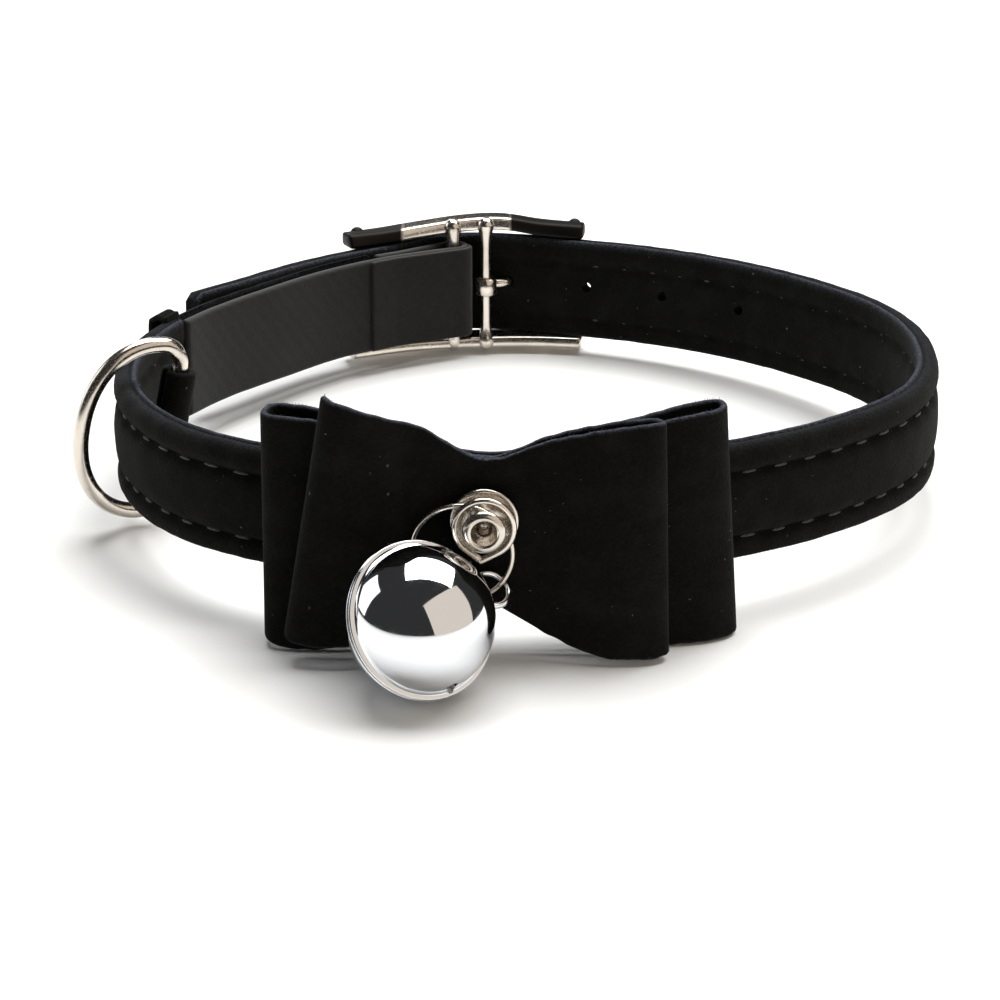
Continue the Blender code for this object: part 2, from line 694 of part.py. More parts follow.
def jump_circle():
    """The middle and the axis of the circle through the jump ring's three points."""
    one = JUMP_LEFT - JUMP_TOP
    two = JUMP_EYE - JUMP_TOP
    normal = one.cross(two)
    middle = JUMP_TOP + (two.length_squared * normal.cross(one)
                         + one.length_squared * two.cross(normal)) / (2 * normal.length_squared)
    return middle, normal


def make_jump_ring():
    """The thin ring over the neck, behind the bell and through its loop."""
    middle, normal = jump_circle()
    start = JUMP_TOP - middle
    points = []
    for step in range(JUMP_STEPS):
        points.append(middle + Matrix.Rotation(TURN * step / JUMP_STEPS, 3, normal) @ start)
    ring = wire("jump_ring", points, JUMP_WIRE, LOOP, cyclic=True, sides=1)
    finish_piece(ring, NICKEL)


def bell_profile():
    """Half a hollow ball with a rim, as radius and height above the seam."""
    inside = BELL_RADIUS - BELL_WALL
    rows = []
    for step in range(BELL_STEPS):
        turn = math.pi / 2 * (1 - step / BELL_STEPS)
        rows.append((BELL_RADIUS * math.cos(turn), BELL_RADIUS * math.sin(turn)))
    rows[0] = (0.0, BELL_RADIUS)
    rim = BELL_RADIUS + BELL_RIM
    rows += [(BELL_RADIUS, BELL_SEAM + BELL_RIM_TALL), (rim, BELL_SEAM + BELL_RIM_TALL),
             (rim, BELL_SEAM), (inside, BELL_SEAM)]
    for step in range(1, BELL_STEPS):
        turn = math.pi / 2 * step / BELL_STEPS
        rows.append((inside * math.cos(turn), inside * math.sin(turn)))
    rows.append((0.0, inside))
    return rows


def bell_eye():
    """The wire loop on the bell's back, round the jump ring."""
    way = (JUMP_EYE - BELL_MID).normalized()
    middle = BELL_MID + way * (BELL_RADIUS + BELL_LOOP_RADIUS + BELL_LOOP_GAP)
    ring_middle, ring_axis = jump_circle()
    lean = way.cross((JUMP_EYE - ring_middle).cross(ring_axis)).normalized()
    points = []
    for step in range(BELL_LOOP_STEPS):
        turn = TURN * step / BELL_LOOP_STEPS
        points.append(middle + (way * math.cos(turn) + lean * math.sin(turn)) * BELL_LOOP_RADIUS)
    return wire("bell_eye", points, BELL_LOOP_WIRE, LOOP, cyclic=True, sides=1)


def make_slits(name):
    """Two bars bent over the bell's mouth, with a round end at each tip."""
    first = (SLIT_END - BELL_MOUTH * SLIT_END.dot(BELL_MOUTH)).normalized()
    second = BELL_MOUTH.cross(first)
    span = SLIT_END.angle(BELL_MOUTH)
    cutters = []
    for number, across in enumerate((first, second)):
        points = []
        for turn in spread(-span, span, 2 * span / SLIT_STEPS):
            way = BELL_MOUTH * math.cos(turn) + across * math.sin(turn)
            points.append(BELL_MID + way * BELL_RADIUS)
        cutters.append(wire(f"{name}_slit_{number}", points, SLIT_WIDTH / 2, LOOP, group=CUTTERS))
        for turn in (-span, span):
            way = BELL_MOUTH * math.cos(turn) + across * math.sin(turn)
            place = aimed(way, BELL_MID + way * BELL_RADIUS)
            cutters.append(cylinder(f"{name}_slit_hole", SLIT_HOLE, 2 * MM, place, LOOP,
                                    BAR_SIDES, CUTTERS))
    return cutters


def make_bell():
    """Two stamped halves, the loop on the rear one and the slits across the mouth."""
    rows = (("bell_front_half", BELL_FACING), ("bell_rear_half", -BELL_FACING))
    for name, facing in rows:
        half = turned(name, bell_profile(), aimed(facing, BELL_MID), LOOP, BELL_SIDES)
        if name == "bell_rear_half":
            half = join(name, half, [bell_eye()])
        for cutter in make_slits(name):
            cut(half, cutter)
        finish_piece(half, CHROME, BELL_SMOOTH)

    shape = bmesh.new()
    drop = BELL_RADIUS - BELL_WALL - PEA_RADIUS - GAP
    bmesh.ops.create_uvsphere(shape, u_segments=12, v_segments=8, radius=PEA_RADIUS,
                              matrix=Matrix.Translation(BELL_MID - Vector((0, 0, drop))))
    pea = add_mesh("bell_pea", shape, LOOP)
    finish_piece(pea, NICKEL)


make_strap()
make_lining()
make_buckle()
make_prong()
make_keeper()
make_ring()
make_bow_loop("bow_back", BOW_BACK)
make_bow_loop("bow_front", BOW_FRONT)
make_rivet()
make_bail()
make_jump_ring()
make_bell()
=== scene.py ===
"""Looks of a velvet bow collar with a bell, lying on its edge as a closed loop.

Metres, +Z up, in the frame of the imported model: the bow faces -Y, the D-ring is
at -X and the buckle at +Y.
"""
import math
import random

import bmesh
import bpy
from mathutils import Matrix, Vector, noise


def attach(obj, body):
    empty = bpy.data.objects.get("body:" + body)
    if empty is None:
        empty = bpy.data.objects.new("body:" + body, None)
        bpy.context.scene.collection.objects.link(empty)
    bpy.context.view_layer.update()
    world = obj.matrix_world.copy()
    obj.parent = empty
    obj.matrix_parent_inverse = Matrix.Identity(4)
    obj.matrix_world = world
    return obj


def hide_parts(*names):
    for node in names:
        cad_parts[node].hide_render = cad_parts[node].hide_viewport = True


bl_info = {
    "name": "Velvet bow collar",
    "version": (1, 0, 0),
    "blender": (4, 5, 0),
    "location": "3D View > Sidebar > Collar",
    "description": "Dresses the packed bow collar in velvet, thread, nickel and chrome",
    "category": "Object",
}

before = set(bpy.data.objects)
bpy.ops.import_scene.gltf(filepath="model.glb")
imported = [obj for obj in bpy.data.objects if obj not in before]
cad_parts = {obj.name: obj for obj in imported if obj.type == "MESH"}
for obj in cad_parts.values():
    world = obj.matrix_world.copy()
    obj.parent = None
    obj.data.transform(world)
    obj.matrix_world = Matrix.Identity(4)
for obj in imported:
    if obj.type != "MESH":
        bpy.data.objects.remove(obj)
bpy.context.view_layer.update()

MM = 0.001
TURN = 2.0 * math.pi
QUARTER = math.pi / 2
FORWARD = Vector((0, -1, 0))
# Points nearer than this become one
MERGE = 0.0000005
SEED = 7
# Steps round a cloth's edge and over the end of a wire or a cloth
EDGE_STEPS = 6
CAP_STEPS = 4

# The loop's centre, and the band's frame on its edge, a little raised in front
LOOP_SHIFT = Vector((1.1 * MM, 7.6 * MM, 0.0))
BAND_MID = 12.8 * MM
BAND_TILT = math.radians(2.46)
LOOP = Matrix.Translation(LOOP_SHIFT)
BAND = (Matrix.Translation(LOOP_SHIFT + Vector((0, 0, BAND_MID)))
        @ Matrix.Rotation(-BAND_TILT, 4, "X"))

# Plan of the band's centre line: angle in degrees from +X, distance in mm
PLAN = (
    (96, 55.6), (108, 53.4), (120, 50.9), (140, 48.0), (160, 49.1), (180, 51.8),
    (200, 54.7), (220, 55.8), (240, 54.1), (260, 52.4), (280, 50.8), (300, 50.0),
    (320, 51.8), (340, 54.6), (360, 55.0), (380, 55.1), (400, 54.1), (420, 54.5),
    (440, 56.3), (450, 58.8), (460, 60.3), (470, 57.0), (480, 54.8), (500, 52.4),
    (514, 53.8),
)
STRAP_START = 115.5
STRAP_END = 512.0
LINING_END = 165.0
PLAN_STEP = 0.5
STRAP_HALF = 7.5 * MM
STRAP_STEP = 0.9 * MM
# The strap's ends: size of the section at shares of the rounded length
STRAP_TIPS = ((0.0, 0.9), (0.3, 0.97), (1.0, 1.0))
TIP_LENGTH = 0.5 * MM

# Strap's section, once round from the outer face's lower edge: distance
# outwards and height in mm, and how much of the cut edge's lighter colour goes there, 0 to 1,
# which is the cut pile with a painted highlight, strongest on the upper inner crest
STRAP_SECTION = (
    (0.55, -7.5, 0.5), (1.15, -7.35, 0.1), (1.5, -6.9, 0.0), (1.65, -6.1, 0.0),
    (1.5, -5.35, 0.0), (0.95, -4.7, 0.0), (1.45, -4.05, 0.0), (1.65, -3.1, 0.0),
    (1.8, -1.6, 0.0), (1.85, 0.0, 0.0), (1.75, 1.6, 0.0), (1.5, 3.05, 0.0),
    (0.95, 3.8, 0.0), (1.45, 4.5, 0.0), (1.68, 5.4, 0.0), (1.6, 6.3, 0.0),
    (1.2, 7.1, 0.05), (0.6, 7.45, 0.15), (-0.05, 7.42, 0.2), (-0.45, 7.12, 0.1),
    (-0.6, 7.2, 0.3), (-0.8, 7.5, 0.7), (-1.15, 7.5, 0.7), (-1.42, 7.1, 0.2),
    (-1.52, 6.3, 0.0), (-1.5, 5.0, 0.0), (-1.2, 3.8, 0.0), (-1.5, 2.6, 0.0),
    (-1.56, 0.0, 0.0), (-1.5, -3.5, 0.0), (-1.2, -4.7, 0.0), (-1.5, -5.8, 0.0),
    (-1.5, -6.8, 0.0), (-1.35, -7.3, 0.2), (-1.05, -7.5, 0.5), (-0.7, -7.45, 0.4),
    (-0.5, -7.1, 0.2), (0.0, -7.25, 0.2),
)
# Stitch channels: heights, width of the pucker and how high it reaches
CHANNELS = (-4.7 * MM, 3.8 * MM)
PUCKER_WIDTH = 0.8 * MM
PUCKER_TOP = 6.6 * MM
# face, distance from the strap's middle, share of a stitch that shows, first angle
STITCH_FACES = ((1, 0.92 * MM, 1.0, 131.0), (-1, 0.98 * MM, 0.45, 170.0))
# Angles of the holes; the tongue goes through the last one
HOLES = (412.0, 426.4, 439.3, 462.8)
HOLE_LIFT = 0.5 * MM
HOLE_RADIUS = 0.8 * MM
TONGUE_HOLE = 0.95 * MM

# Places where something presses the strap flat, as angles on the plan
PRESSED = ((96.0, 130.0), (159.0, 171.0), (441.0, 481.0), (503.0, 514.0))
PRESSED_OUT = 1.45 * MM

# Lining: distance from the band's centre line, half width and thickness of the
# strip, then of the flap that comes back round the bar
LINING_OUT = -0.9 * MM
LINING_HALF = 7.1 * MM
LINING_WALL = 1.2 * MM
FLAP_HALF = 6.95 * MM
FLAP_WALL = 0.6 * MM

# Keeper: first and last angle, and its outline as distance outwards and height
# in mm, once round
KEEPER_ANGLES = (164.5, 169.0)
KEEPER_OUTLINE = (
    (0.35, -6.8), (0.35, 6.8), (0.74, 7.71), (1.525, 8.1), (2.31, 7.71), (2.7, 6.8),
    (2.85, 0.0), (2.7, -6.8), (2.31, -7.71), (1.525, -8.1), (0.74, -7.71),
)
KEEPER_FLAT = (0.01, 0.038)

# Bow loops: plan and height of the cloth's middle, in mm, at its lower and
# its upper edge, once round from the left fold along the front
BOW_BACK = (
    # x low, x high, y low, y high, z low, z high
    (-31.0, -30.8, -53.8, -53.4, 1.2, 30.4),
    (-29.6, -29.4, -55.8, -55.4, 0.5, 30.5),
    (-24.0, -23.8, -56.2, -55.8, 0.3, 29.9),
    (-15.0, -14.6, -55.8, -55.4, 2.0, 28.2),
    (-4.3, -4.3, -55.65, -55.15, 7.6, 25.3),
    (6.0, 6.0, -55.6, -55.2, 3.6, 27.4),
    (15.0, 14.6, -54.9, -54.3, 0.6, 29.0),
    (22.6, 21.4, -53.6, -52.8, 0.3, 29.8),
    (26.2, 24.4, -51.2, -50.4, 0.3, 29.9),
    (25.4, 23.6, -48.6, -48.0, 0.6, 29.9),
    (19.5, 18.6, -50.2, -49.6, 0.5, 29.5),
    (8.0, 8.0, -53.6, -53.2, 2.4, 27.8),
    (-4.3, -4.3, -54.4, -53.9, 7.6, 25.3),
    (-16.0, -15.6, -54.1, -53.7, 1.9, 28.3),
    (-25.0, -24.8, -51.9, -51.6, 0.5, 30.0),
    (-29.6, -29.4, -51.4, -51.0, 0.8, 30.4),
)
BOW_FRONT = (
    (-28.2, -23.1, -59.4, -59.0, 3.6, 34.2),
    (-26.8, -22.0, -61.0, -60.8, 3.0, 34.1),
    (-20.5, -17.0, -61.4, -61.0, 3.0, 32.5),
    (-13.4, -12.0, -58.5, -58.3, 5.2, 30.2),
    (-4.3, -4.3, -58.15, -57.65, 7.3, 25.9),
    (3.2, 3.4, -59.0, -58.8, 3.7, 28.6),
    (9.6, 9.6, -60.2, -59.8, 1.2, 30.2),
    (15.4, 14.8, -60.0, -59.5, 0.8, 30.9),
    (17.7, 16.9, -58.4, -58.0, 0.7, 30.8),
    (15.6, 15.0, -57.0, -56.6, 0.7, 30.6),
    (9.6, 9.4, -57.2, -56.8, 1.2, 29.9),
    (3.0, 3.2, -57.0, -56.7, 3.7, 28.4),
    (-4.3, -4.3, -56.9, -56.4, 7.3, 25.7),
    (-13.4, -11.9, -57.2, -57.0, 5.2, 29.5),
    (-20.5, -17.2, -58.4, -58.2, 3.2, 31.2),
    (-26.6, -21.8, -58.3, -57.9, 3.2, 32.7),
)
BOW_WALL = 0.85 * MM
BOW_BACK_FLAT = (0.030, 0.117)
BOW_FRONT_FLAT = (0.031, 0.096)
BOW_HOLE = 1.4 * MM
# Pleats at the rivet: how far they reach, their depth and their number
PINCH_WIDTH = 7 * MM
PLEAT_DEPTH = 0.12 * MM
PLEATS = 2.5
CLOTH_WAVE = 0.16 * MM

# Buckle: upright bars in plan, and the two rails, which bow outwards with the
# strap, the upper one upwards too, all in mm
STRAP_BAR = Vector((-10.4, 54.8)) * MM
PRONG_BAR = Vector((-5.4, 55.3)) * MM
KEEPER_BAR = Vector((-24.9, 53.2)) * MM
REST_BAR = Vector((8.2, 59.1)) * MM
BAR_RADIUS = 1.1 * MM
# place in plan, radius, upper end, share by which the feet are wider
BARS = ((KEEPER_BAR, BAR_RADIUS, 9.0 * MM, 0.0), (STRAP_BAR, BAR_RADIUS, 9.7 * MM, 0.2),
        (PRONG_BAR, 0.8 * MM, 9.8 * MM, 0.7), (REST_BAR, BAR_RADIUS, 8.9 * MM, 0.0))
FLARE_TALL = 3.0 * MM
RAIL_PATH = ((-26.0, 50.7, 8.65), (-21.0, 53.3, 8.7), (-16.0, 55.3, 9.1), (-9.0, 56.9, 9.8),
             (-3.0, 57.6, 9.9), (3.0, 57.6, 9.0), (9.2, 56.8, 8.65))
RAIL_DEPTH = 4.0 * MM
RAIL_TALL = 2.1 * MM
LOW_RAIL_MID = -8.5 * MM
LOW_RAIL_TALL = 1.9 * MM
LOW_RAIL_DEPTH = 5.0 * MM
LOW_RAIL_IN = 0.5 * MM
RAIL_SIDES = 48
RAIL_SOFTNESS = 0.45
# How far each rail's near face leans back at its top, in mm, at shares of the rail
RAIL_LEAN = ((0.0, 0.9), (0.2, 0.3), (0.7, 0.3), (1.0, 0.9))
LOW_RAIL_LEAN = ((0.0, 0.3), (1.0, 0.3))
# Ends of the upper rail painted dark as a painted dark reflection, in the world: middle and half
# length of the bright part between them, and the height where they start
BRIGHT_MID = -8.75 * MM
BRIGHT_HALF = 8.15 * MM
DARK_ABOVE = 17.6 * MM
# The tongue's middle in plan, in mm, and its height
TONGUE = ((-5.2, 57.0), (-3.4, 57.0), (-2.2, 57.6), (-1.2, 59.2), (0.1, 60.6), (2.0, 61.2),
          (5.0, 61.2), (8.0, 61.2), (10.6, 60.9))
TONGUE_HEIGHT = 0.3 * MM
# The tongue's sleeve round its bar: radius and height in mm
SLEEVE = ((1.0, -1.2), (1.1, -1.3), (1.5, -1.3), (1.7, -1.1), (1.7, 1.1), (1.5, 1.3),
          (1.1, 1.3), (1.0, 1.2), (1.0, -1.2))

# D-ring on its hinge inside the band
RING_BAR = Vector((-46.7, -14.3, 13.4)) * MM
RING_TURN = (math.radians(-4.0), math.radians(-10.5), math.radians(210.0))
RING_REACH = 12.6 * MM
RING_HALF = 11.8 * MM
RING_CORNER = 3.0 * MM
RING_POWER = 2.15
RING_WIRE = 1.05 * MM
RING_FOLD_HALF = 8.4 * MM
RING_FOLD_WALL = 1.0 * MM

# Rivet: profile as radius and distance in front of the bow, in mm; the last rows
# are the neck and foot behind the disc, which keep their sharp corners
RIVET_AT = Vector((-4.3, -58.65, 18.5)) * MM
RIVET_PROFILE = (
    (0.0, 1.6), (0.35, 1.6), (0.6, 1.75), (0.65, 2.4), (0.7, 3.3), (1.0, 3.95),
    (1.4, 4.5), (1.62, 4.85), (1.95, 4.95), (2.3, 4.82), (2.6, 4.5), (2.65, 4.2),
    (2.35, 3.95), (1.8, 3.72), (1.25, 3.5),
    (1.05, 2.9), (1.0, 1.5), (1.2, 1.05), (1.8, 0.78), (2.6, 0.72), (3.3, 0.88),
    (3.75, 1.02), (4.05, 0.95), (4.15, 0.7), (4.0, 0.45), (3.4, 0.2), (2.2, 0.05),
    (1.2, 0.0), (1.2, -9.2), (3.0, -9.2), (3.05, -9.5), (2.5, -9.85), (0.0, -10.0),
)
RIVET_FOOT = 5
# Bail: a ring drawn down to a point. Jump ring: three points of its circle
BAIL_Y = -61.7 * MM
BAIL_RING = 3.5 * MM
BAIL_WIRE = 0.42 * MM
BAIL_POINT = 4.15 * MM
BAIL_SPIN = math.radians(5.0)
JUMP_TOP = Vector((-3.5, -60.55, 19.7)) * MM
JUMP_LEFT = Vector((-11.25, -59.5, 10.5)) * MM
JUMP_EYE = Vector((-2.65, -60.35, 10.5)) * MM
JUMP_WIRE = 0.33 * MM

# Bell: two stamped halves with a rim, a wire loop and crossed slits
BELL_MID = Vector((-11.7, -68.85, 9.75)) * MM
BELL_RADIUS = 8.9 * MM
BELL_WALL = 0.4 * MM
BELL_RIM = 0.7 * MM
BELL_RIM_TALL = 0.35 * MM
BELL_SEAM = 0.15 * MM
BELL_FILLET = 0.35 * MM
BELL_LOOP = 2.3 * MM
BELL_FACING = Vector((0.487, -0.712, 0.507)).normalized()
# Directions of the bell's mouth and of one slit's end
BELL_MOUTH = Vector((0.30, -0.10, -0.95)).normalized()
SLIT_END = Vector((0.43, -0.58, -0.70)).normalized()
SLIT_WIDTH = 0.9 * MM
SLIT_HOLE = 0.75 * MM

# Lint: piece, specks on its pile, fibres on its cut edges
LINT = (("bow_front_cloth", 110, 220), ("bow_back_cloth", 90, 220),
        ("strap_velvet", 200, 160), ("keeper_velvet", 6, 0))

# Camera, floor, and the softboxes: name, setting, place, aim, size and tint
CAMERA_AT = (1.1 * MM, -408.7 * MM, 164.0 * MM)
CAMERA_TURN = (math.radians(68.20), 0.0, math.radians(0.39))
CAMERA_LENS = 116.2
FLOOR_HALF = 4.0
SOFTBOXES = (
    ("overhead", "overhead", (0.22, 0.37, 0.90), (0.22, 0.37, 0.0), (1.05, 0.87), "#ffffff"),
    ("back screen", "back", (-0.41, 1.20, 0.50), (-0.41, 0.0, 0.50), (0.42, 0.9), "#ffffff"),
    ("left", "side", (-1.00, 0.42, 0.40), (0.0, 0.42, 0.40), (0.8, 0.7), "#fafcff"),
    ("reflector", "reflector", (0.78, -0.58, 0.50), (0.0, 0.0, 0.02), (1.5, 1.15), "#fff2e2"),
)


def linear(code):
    """Turn an sRGB hex code into linear red, green and blue."""
    values = [int(code[at:at + 2], 16) / 255 for at in (1, 3, 5)]
    return tuple(v / 12.92 if v <= 0.04045 else ((v + 0.055) / 1.055) ** 2.4 for v in values)


def colour_setting(name, description, code):
    """A colour that starts at an sRGB hex code."""
    return bpy.props.FloatVectorProperty(name=name, description=description, subtype="COLOR",
                                         size=3, min=0, max=1, default=linear(code))


def number_setting(name, description, value, **limits):
    """A number of 0 or more."""
    return bpy.props.FloatProperty(name=name, description=description, min=0, default=value,
                                   **limits)


def length_setting(name, description, value):
    """A length in metres."""
    return bpy.props.FloatProperty(name=name, description=description, subtype="DISTANCE",
                                   unit="LENGTH", default=value)


class ClothSettings(bpy.types.PropertyGroup):
    """Colours and sizes of the cloth and its thread."""
    pile: colour_setting("Pile", "Colour of the velvet's pile", "#0f0f0d")
    brushed_pile: colour_setting(
        "Brushed pile", "Colour where the pile leans towards the light", "#1b1b19")
    # Cut edges: the cut pile with a painted highlight along them
    cut_edge: colour_setting("Cut edge", "Colour of the velvet's cut edges", "#51545f")
    lining: colour_setting("Lining", "Colour of the grey lining", "#1b1b1a")
    thread: colour_setting("Thread", "Colour of the stitches", "#41403e")
    stitch_pitch: length_setting(
        "Stitch pitch", "Distance from one stitch to the next", 4.7 * MM)
    stitch_length: length_setting(
        "Stitch length", "Length of thread that shows in a stitch", 2.3 * MM)
    thread_radius: length_setting("Thread radius", "Half the width of the thread", 0.2 * MM)


class MetalSettings(bpy.types.PropertyGroup):
    """Colours and polish of the metal."""
    nickel: colour_setting("Nickel", "Colour of the nickel plate", "#d9d1c6")
    # The buckle's dark ends: a painted dark reflection
    dark_reflection_colour: colour_setting(
        "Painted dark reflection", "Colour of the film on the buckle's dark ends", "#211f1d")
    chrome: colour_setting("Chrome", "Colour of the bell's chrome plate", "#e3e5e9")
    nickel_roughness: number_setting(
        "Nickel roughness", "How dull the nickel plate is", 0.2, max=1)
    chrome_roughness: number_setting(
        "Chrome roughness", "How dull the chrome plate is", 0.04, max=1)


class StageSettings(bpy.types.PropertyGroup):
    """Lights and floor."""
    overhead: number_setting("Overhead light", "Brightness of the softbox above", 6.8)
    back: number_setting("Back light", "Brightness of the screen behind", 2.4)
    side: number_setting("Side light", "Brightness of the softbox on the left", 1.7)
    reflector: number_setting(
        "Reflector", "Brightness of the warm reflector on the right", 0.8)
    room: number_setting("Room", "Brightness of the dark room round the table", 0.035)
    floor: colour_setting("Floor", "Colour of the floor", "#fbfbf9")


def hermite(table, at, column=1):
    """Read a smooth curve through a table's rows at a value of its first column."""
    last = len(table) - 1
    low = 0
    while low < last - 1 and table[low + 1][0] < at:
        low += 1
    before = table[max(low - 1, 0)]
    start = table[low]
    end = table[low + 1]
    after = table[min(low + 2, last)]
    span = end[0] - start[0]
    share = (at - start[0]) / span
    slope_in = (end[column] - before[column]) / (end[0] - before[0]) * span
    slope_out = (after[column] - start[column]) / (after[0] - start[0]) * span
    square = share * share
    cube = square * share
    return ((2 * cube - 3 * square + 1) * start[column] + (cube - 2 * square + share) * slope_in
            + (3 * square - 2 * cube) * end[column] + (cube - square) * slope_out)


def spaced(start, end, steps):
    """Even steps from start to end, with both of them."""
    return [start + (end - start) * step / steps for step in range(steps + 1)]


def arc(start, end, steps):
    """Cosine and sine at even steps from one angle to another."""
    return [(math.cos(turn), math.sin(turn)) for turn in spaced(start, end, steps)]


def smooth_path(points, count):
    """Even steps on a smooth open curve through a few points."""
    rows = [(index, *point) for index, point in enumerate(points)]
    width = len(points[0])
    return [tuple(hermite(rows, at, column + 1) for column in range(width))
            for at in spaced(0, len(points) - 1, count)]


def closed_table(rows):
    """Number a closed table's rows, with enough of them repeated to read it round."""
    wrapped = list(rows[-2:]) + list(rows) + list(rows[:3])
    return [(index - 2, *row) for index, row in enumerate(wrapped)]


def plan_centre(degrees):
    """A point of the band's centre line, in the band's frame."""
    reach = hermite(PLAN, degrees) * MM
    turn = math.radians(degrees)
    return Vector((reach * math.cos(turn), reach * math.sin(turn), 0.0))


def plan_outwards(degrees):
    """The level direction out of the loop at an angle."""
    run = plan_centre(degrees + PLAN_STEP) - plan_centre(degrees - PLAN_STEP)
    return Vector((run.y, -run.x, 0.0)).normalized()


def band_point(degrees, out, height):
    """A point of the band in the model's frame."""
    flat = plan_centre(degrees) + plan_outwards(degrees) * out
    return BAND @ Vector((flat.x, flat.y, height))


def plan_path(start, end, out, steps):
    """Points beside the band's centre line, from one angle to another."""
    return [plan_centre(angle) + plan_outwards(angle) * out
            for angle in spaced(start, end, steps)]


def tongue_path(count):
    """The middle of the buckle's tongue in the model's frame."""
    return [BAND @ Vector((x * MM, y * MM, TONGUE_HEIGHT))
            for x, y in smooth_path(TONGUE, count)]


def plan_lengths(start, end):
    """Angles from start to end with the length of band up to each."""
    angles = spaced(start, end, round((end - start) / PLAN_STEP))
    rows = [(0.0, angles[0])]
    for one, two in zip(angles, angles[1:]):
        rows.append((rows[-1][0] + (plan_centre(two) - plan_centre(one)).length, two))
    return rows


def angle_at(rows, length):
    """The plan's angle at a length along the band."""
    share = length / rows[-1][0] * (len(rows) - 1)
    low = min(max(int(share), 0), len(rows) - 2)
    while low < len(rows) - 2 and rows[low + 1][0] < length:
        low += 1
    while low > 0 and rows[low][0] > length:
        low -= 1
    one, two = rows[low], rows[low + 1]
    return one[1] + (two[1] - one[1]) * (length - one[0]) / (two[0] - one[0])


def ramp(value, low, high):
    """A smooth step from 0 at low to 1 at high."""
    share = min(max((value - low) / (high - low), 0.0), 1.0)
    return share * share * (3 - 2 * share)


def pressed(degrees):
    """How far the strap is pressed flat at an angle, 0 to 1."""
    most = 0.0
    for low, high in PRESSED:
        most = max(most, ramp(degrees, low - 4, low) * (1 - ramp(degrees, high, high + 4)))
    return most


def ragged(point, size, seed):
    """Smooth noise of a point, about -1 to 1, with features of a size."""
    return noise.noise(point / size + Vector((seed, 3.1 * seed, 0.7 * seed)))


def aimed(way, at):
    """The matrix that turns +Z to a direction, at a point."""
    return Matrix.Translation(at) @ way.to_track_quat("Z", "Y").to_matrix().to_4x4()


def peg(at, way, radius, depth, sides):
    """A closed round bar through a point, to cut a hole with."""
    shape = bmesh.new()
    bmesh.ops.create_cone(shape, cap_ends=True, segments=sides, radius1=radius,
                          radius2=radius, depth=depth, matrix=aimed(way, at))
    return shape


def shaped_grid(columns, rows, place, size):
    """A grid whose corners go to place(column, row), with its seams closed.

    place gives a point and how much of the cut edge's lighter colour goes there, the cut pile with
    a painted highlight. The UV map is in metres.
    """
    shape = bmesh.new()
    shape.loops.layers.uv.new("cloth")
    shape.verts.layers.float.new("cut_edge")
    bmesh.ops.create_grid(shape, x_segments=columns, y_segments=rows, size=0.5, calc_uvs=True)
    flat = shape.loops.layers.uv["cloth"]
    edge_and_highlight = shape.verts.layers.float["cut_edge"]
    for spot in shape.verts:
        column = round((spot.co.x + 0.5) * columns)
        row = round((spot.co.y + 0.5) * rows)
        spot.co, spot[edge_and_highlight] = place(column, row)
    for face in shape.faces:
        for corner in face.loops:
            corner[flat].uv = (corner[flat].uv.x * size[0], corner[flat].uv.y * size[1])
    bmesh.ops.remove_doubles(shape, verts=shape.verts, dist=MERGE)
    bmesh.ops.holes_fill(shape, edges=shape.edges, sides=0)
    bmesh.ops.recalc_face_normals(shape, faces=shape.faces)
    return shape


def placed(name, data):
    """An object in the scene, from a bmesh or from a camera or light."""
    if isinstance(data, bmesh.types.BMesh):
        mesh = bpy.data.meshes.new(name)
        data.to_mesh(mesh)
        data.free()
        data = mesh
    made = bpy.data.objects.new(name, data)
    bpy.context.scene.collection.objects.link(made)
    return made


def add_piece(name, shape, finish, body="collar", slot=None, stands_for=(), smooth=40.0,
              cutters=(), **sheet):
    """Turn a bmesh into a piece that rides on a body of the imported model.
    """
    made = placed(name, shape)
    made.data.materials.append(finish)
    made.data.shade_smooth()
    made.data.set_sharp_from_angle(angle=math.radians(smooth))
    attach(made, body)
    if stands_for:
        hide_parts(*stands_for)
    if cutters:
        cut_away(made, cutters)


def cut_away(piece, cutters):
    """Cut closed bmesh shapes out of a piece and keep the result."""
    helpers = [placed("cutter", cutter) for cutter in cutters]
    for helper in helpers:
        change = piece.modifiers.new("cut", "BOOLEAN")
        change.operation = "DIFFERENCE"
        change.solver = "EXACT"
        change.object = helper
    bpy.context.view_layer.update()
    graph = bpy.context.evaluated_depsgraph_get()
    mesh = bpy.data.meshes.new_from_object(piece.evaluated_get(graph))
    piece.modifiers.clear()
    old = piece.data
    piece.data = mesh
    bpy.data.meshes.remove(old)
    mesh.name = piece.name
    for helper in helpers:
        data = helper.data
        bpy.data.objects.remove(helper)
        bpy.data.meshes.remove(data)


def runs_along(path, closed=False):
    """Each point of a path with the path's direction there."""
    last = len(path) - 1
    rows = []
    for index, point in enumerate(path):
        after = path[(index + 1) % len(path) if closed else min(index + 1, last)]
        before = path[index - 1 if closed else max(index - 1, 0)]
        rows.append((point, (after - before).normalized()))
    return rows


def with_ends(stations, steps, reach, power=1.0):
    """Add rounded ends to stations of point, direction, size and anything more."""
    caps = []
    for (point, run, size, *more), side in ((stations[0], -1), (stations[-1], 1)):
        caps.append([(point + run * (side * size * reach * back), run, size * wide ** power,
                      *more) for back, wide in arc(0.0, QUARTER, steps)[:-1]])
    return caps[0] + stations + caps[1][::-1]


